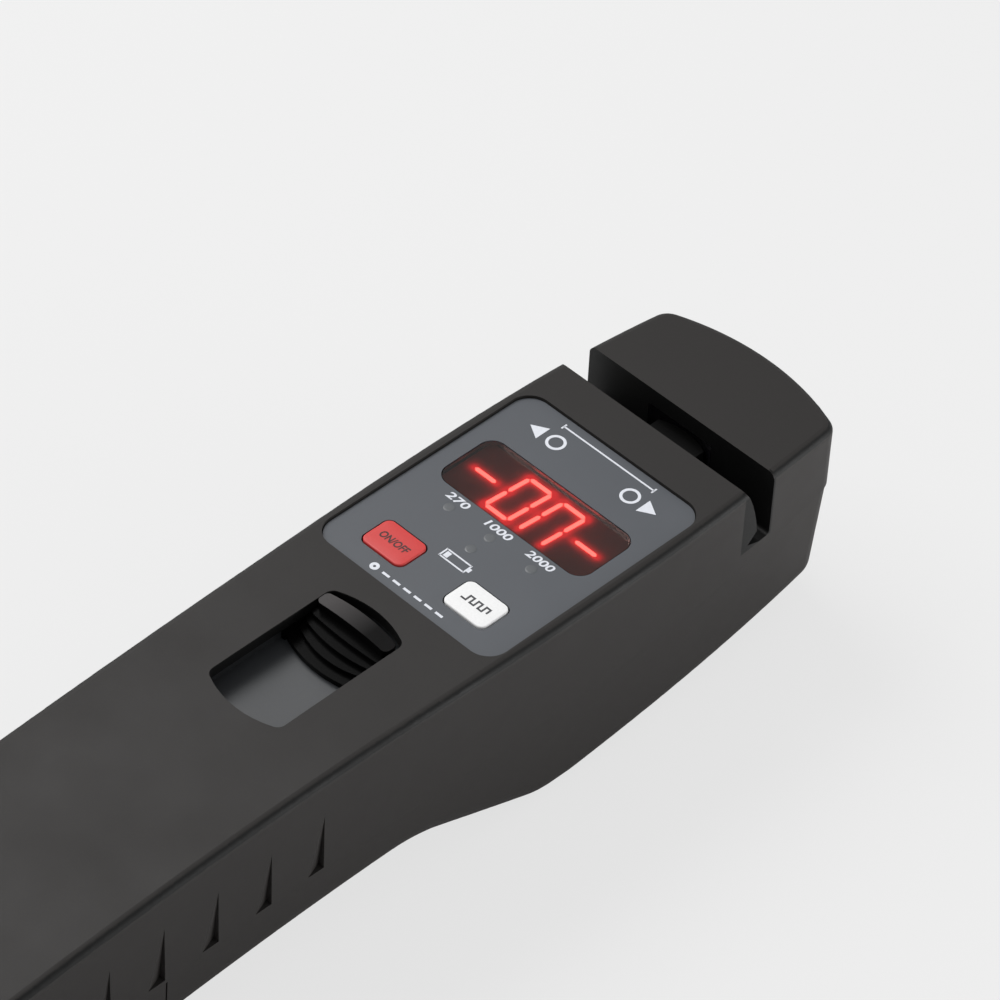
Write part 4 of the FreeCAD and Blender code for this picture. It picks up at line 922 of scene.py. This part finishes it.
class FIBRE_OT_slider(bpy.types.Operator):
    """Finishes the thumb slider, its link and the well that it runs in"""

    bl_idname = "fibre_identifier.slider"
    bl_label = "Thumb slider"

    def execute(self, context):
        colours = context.scene.finish_colours
        finish_node("thumb_slider", slider_acetal(colours.slider))
        finish_node("slider_tray", moulded_plastic("Moulded grey ABS", colours.well, 0.45, 0.4,
                                                   0.01, 0.03))
        finish_node("slider_link", moulded_plastic("Black glass-filled nylon", linear("#1d1d1d"),
                                                   0.55, 0.6, 0.02))
        return_spring(metal("Nickel-plated spring wire", linear("#b9bcc0"), 0.25))
        return {"FINISHED"}


class FIBRE_OT_clamp(bpy.types.Operator):
    """Finishes the fibre clamp, the detector and the boards"""

    bl_idname = "fibre_identifier.clamp"
    bl_label = "Clamp and detector"

    def execute(self, context):
        finish_node("fibre_anvil", moulded_plastic("Black silicone rubber", linear("#0b0b0b"), 0.6,
                                                   0.5, 0.02, 0.05, 1.42, gloss=0.15))
        finish_node("detector_block", moulded_plastic("Infrared-clear black acrylic",
                                                      linear("#141316"), 0.12, 0.6, 0.002, 0.05,
                                                      1.49))
        finish_node("photodiodes", metal("Gold-plated diode can", linear("#c9ad6a"), 0.25))
        finish_node("detector_board", circuit_board("Green-masked detector board"))
        finish_node("main_board", circuit_board("Green-masked main board"))
        lamp = moulded_plastic("Diffused clear lamp epoxy", linear("#a9b0ad"), 0.15, 0.5, 0.004)
        for node in ("direction_lamps", "tone_lamps", "low_battery_lamp"):
            finish_node(node, lamp)
        return {"FINISHED"}


# ---- casing -------------------------------------------------------------------------------------
SCREW_HEAD_RADIUS = 2.6 * MM
SCREW_HEAD_HEIGHT = 2.0 * MM
SCREW_SHANK_RADIUS = 1.15 * MM
SCREW_SHANK_LENGTH = 11.0 * MM
THREAD_DEPTH = 0.18 * MM
HALF_THREAD = 0.5 * MM


def pan_screw():
    """A pan-head screw, head down, with a cross recess; its origin is under the head."""
    bm = bmesh.new()
    sides = 32
    swell = 0.9 * MM
    rings = []

    def ring(radius, height, cross=0.0):
        points = []
        for i in range(sides):
            angle = 2 * math.pi * i / sides
            reach = radius * (1 - cross * (1 - abs(math.cos(2 * angle))))
            points.append((reach * math.cos(angle), reach * math.sin(angle), height))
        return points

    rings.append(ring(0.35 * MM, -0.9 * MM, 0.6))
    rings.append(ring(1.15 * MM, 0.1 * MM - SCREW_HEAD_HEIGHT, 0.6))
    rings.append(ring(1.5 * MM, -SCREW_HEAD_HEIGHT, 0.25))
    for step in range(5):
        angle = math.pi / 2 * step / 4
        rings.append(ring(SCREW_HEAD_RADIUS - swell * (1 - math.sin(angle)),
                          swell * (1 - math.cos(angle)) - SCREW_HEAD_HEIGHT))
    rings.append(ring(SCREW_HEAD_RADIUS, 0.0))
    rings.append(ring(SCREW_SHANK_RADIUS, 0.0))
    for step in range(1, round(SCREW_SHANK_LENGTH / HALF_THREAD)):
        depth = 0.0 if step % 2 else THREAD_DEPTH
        rings.append(ring(SCREW_SHANK_RADIUS - depth, step * HALF_THREAD))
    rings.append(ring(0.4 * MM, SCREW_SHANK_LENGTH))
    add_loft(bm, rings)
    return mesh_from("pan_screw", bm)


class FIBRE_OT_casing(bpy.types.Operator):
    """Finishes both shells and the battery door, and makes the case screws"""

    bl_idname = "fibre_identifier.casing"
    bl_label = "Casing"

    def execute(self, context):
        colours = context.scene.finish_colours
        abs_black = casing_abs(colours.casing)
        finish_node("upper_shell", abs_black)
        finish_node("lower_shell", abs_black)
        finish_node("battery_door", abs_black)
        steel = metal("Black-passivated steel", linear("#4a4a4d"), 0.35)
        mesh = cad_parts["case_screws"].data
        low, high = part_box("case_screws")
        points = []
        for sx in (-1, 1):
            for front in (True, False):
                near = [v.co for v in mesh.vertices
                        if (v.co.x > 0) == (sx > 0) and (v.co.y > 0) == front]
                x = (min(p.x for p in near) + max(p.x for p in near)) / 2
                y = (min(p.y for p in near) + max(p.y for p in near)) / 2
                points.append((x, y, min(p.z for p in near) + SCREW_HEAD_HEIGHT))
        screws = repeated("case_screws_turned", pan_screw(), points, steel)
        smooth(screws, 35)
        piece = as_piece("case_screws_turned", screws, "housing", [steel])
        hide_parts("case_screws")
        return {"FINISHED"}


# ---- battery and laser --------------------------------------------------------------------------
class FIBRE_OT_power(bpy.types.Operator):
    """Finishes the battery compartment and the laser"""

    bl_idname = "fibre_identifier.power"
    bl_label = "Cells and laser"

    def execute(self, context):
        finish_node("battery_cradle", moulded_plastic("Black polypropylene", linear("#232323"), 0.5))
        finish_node("battery_cells", moulded_plastic("Grey cell sleeve", linear("#6b7078"), 0.25,
                                                     0.6, 0.003))
        finish_node("battery_contacts", metal("Nickel-plated spring steel", linear("#c4c6c8"), 0.2))
        finish_node("laser_module", metal("Turned brass", linear("#c9a95c"), 0.25, (8, 1, 8), 2.0))
        finish_node("laser_port", metal("Turned nickel silver", linear("#b9b9b4"), 0.22, (1, 12, 1),
                                        1.2))
        return {"FINISHED"}


# ---- stage --------------------------------------------------------------------------------------
SENSOR_WIDTH = 36.0
FLOOR_DROP = 0.5 * MM
WORLD_STRENGTH = 0.5
# where the camera aims, in millimetres from the display's centre
AIM = (-4.83, -2.92)
# each light's name, place, aim, sides and power in watts
LIGHTS = (("soft key", (-1.1, -0.3, 1.15), (0, -0.05, 0.03), (1.5, 1.1), 18.0),
          ("tail light", (-0.3, 0.11, 0.45), (0, -0.12, 0.03), (0.24, 0.24), 0.8),
          ("side fill", (0.38, 0.3, 0.07), (0, 0.08, 0.02), (0.3, 0.14), 1.3))


def area_light(name, place, aim, size, power):
    """A soft rectangular light at a place, turned to what it aims at."""
    data = bpy.data.lights.new(name, "AREA")
    data.shape = "RECTANGLE"
    data.size, data.size_y = size
    data.energy = power
    light = bpy.data.objects.new(name, data)
    light.location = place
    light.rotation_euler = (Vector(aim) - Vector(place)).to_track_quat("-Z", "Y").to_euler()
    bpy.context.scene.collection.objects.link(light)


def pale_floor(colour):
    """Matt paint. Most of what the camera sees of it is its own even light, so that it stays pale,
    and the rest keeps the tool's shadow."""
    material, tree, surface, place = start_material("Matt floor paint")
    tint, _ = mottled(tree, place, 0.4, shade(colour, 0.995), shade(colour, 1.0), 1.0)
    tree.links.new(tint, surface.inputs["Base Color"])
    surface.inputs["Roughness"].default_value = 0.9
    surface.inputs["Specular IOR Level"].default_value = 0.0
    seen = add_node(tree, "ShaderNodeLightPath").outputs["Is Camera Ray"]
    share = add_node(tree, "ShaderNodeMath", {0: seen, 1: 0.85}, operation="MULTIPLY")
    plain = add_node(tree, "ShaderNodeEmission", {"Color": rgba(colour), "Strength": 1.0})
    blend = add_node(tree, "ShaderNodeMixShader", {"Fac": share.outputs[0]})
    tree.links.new(surface.outputs["BSDF"], blend.inputs[1])
    tree.links.new(plain.outputs["Emission"], blend.inputs[2])
    output = next(n for n in tree.nodes if n.bl_idname == "ShaderNodeOutputMaterial")
    tree.links.new(blend.outputs["Shader"], output.inputs["Surface"])
    return material


class FIBRE_OT_stage(bpy.types.Operator):
    """Makes the floor, the soft lights and the camera"""

    bl_idname = "fibre_identifier.stage"
    bl_label = "Stage"

    def execute(self, context):
        scene = context.scene
        stage = scene.stage_sizes
        scene.view_settings.view_transform = "Standard"
        half = stage.floor_size / 2
        floor = bpy.data.meshes.new("floor")
        floor.from_pydata([(-half, -half, 0), (half, -half, 0), (half, half, 0), (-half, half, 0)],
                          [], [(0, 1, 2, 3)])
        floor.materials.append(pale_floor(scene.finish_colours.floor))
        plane = bpy.data.objects.new("floor", floor)
        plane.location.z = -FLOOR_DROP
        scene.collection.objects.link(plane)
        world = bpy.data.worlds.new("Studio")
        world.use_nodes = True
        background = world.node_tree.nodes["Background"]
        background.inputs["Color"].default_value = rgba(linear("#ffffff"))
        background.inputs["Strength"].default_value = WORLD_STRENGTH
        scene.world = world
        for light in LIGHTS:
            area_light(*light)
        azimuth = stage.azimuth
        elevation = stage.elevation
        roll = stage.roll
        back = Vector((math.sin(azimuth) * math.cos(elevation),
                       -math.cos(azimuth) * math.cos(elevation), math.sin(elevation)))
        right = Vector((math.cos(azimuth), math.sin(azimuth), 0))
        up = back.cross(right)
        turned_right = right * math.cos(roll) + up * math.sin(roll)
        turned_up = up * math.cos(roll) - right * math.sin(roll)
        target = Vector((*on_label(*AIM), LABEL_TOP))
        data = bpy.data.cameras.new("camera")
        data.sensor_width = SENSOR_WIDTH
        data.lens = stage.focal_length
        data.clip_start = 0.01
        data.clip_end = 20.0
        camera = bpy.data.objects.new("camera", data)
        camera.matrix_world = Matrix.Translation(target + back * stage.distance) @ Matrix(
            (turned_right, turned_up, back)).transposed().to_4x4()
        scene.collection.objects.link(camera)
        scene.camera = camera
        return {"FINISHED"}


# ---- add-on -------------------------------------------------------------------------------------
OPERATORS = (FIBRE_OT_stage, FIBRE_OT_casing, FIBRE_OT_label, FIBRE_OT_display, FIBRE_OT_keys,
             FIBRE_OT_slider, FIBRE_OT_clamp, FIBRE_OT_power)


class FIBRE_PT_finishes(bpy.types.Panel):
    """Lists the steps and their settings"""

    bl_idname = "FIBRE_PT_finishes"
    bl_label = "Fibre identifier"
    bl_space_type = "VIEW_3D"
    bl_region_type = "UI"
    bl_category = "Fibre identifier"

    def draw(self, context):
        layout = self.layout
        for group in (context.scene.finish_colours, context.scene.panel_sizes,
                      context.scene.stage_sizes):
            box = layout.box()
            for name in group.bl_rna.properties.keys():
                if name not in ("rna_type", "name"):
                    box.prop(group, name)
        for operator in OPERATORS:
            layout.operator(operator.bl_idname)


CLASSES = (FinishColours, PanelSizes, StageSizes) + OPERATORS + (FIBRE_PT_finishes,)


def register():
    for cls in CLASSES:
        bpy.utils.register_class(cls)
    bpy.types.Scene.finish_colours = PointerProperty(type=FinishColours)
    bpy.types.Scene.panel_sizes = PointerProperty(type=PanelSizes)
    bpy.types.Scene.stage_sizes = PointerProperty(type=StageSizes)


def unregister():
    del bpy.types.Scene.stage_sizes
    del bpy.types.Scene.panel_sizes
    del bpy.types.Scene.finish_colours
    for cls in reversed(CLASSES):
        bpy.utils.unregister_class(cls)


def main():
    register()
    for operator in OPERATORS:
        group, name = operator.bl_idname.split(".")
        getattr(getattr(bpy.ops, group), name)()


if __name__ == "__main__":
    main()
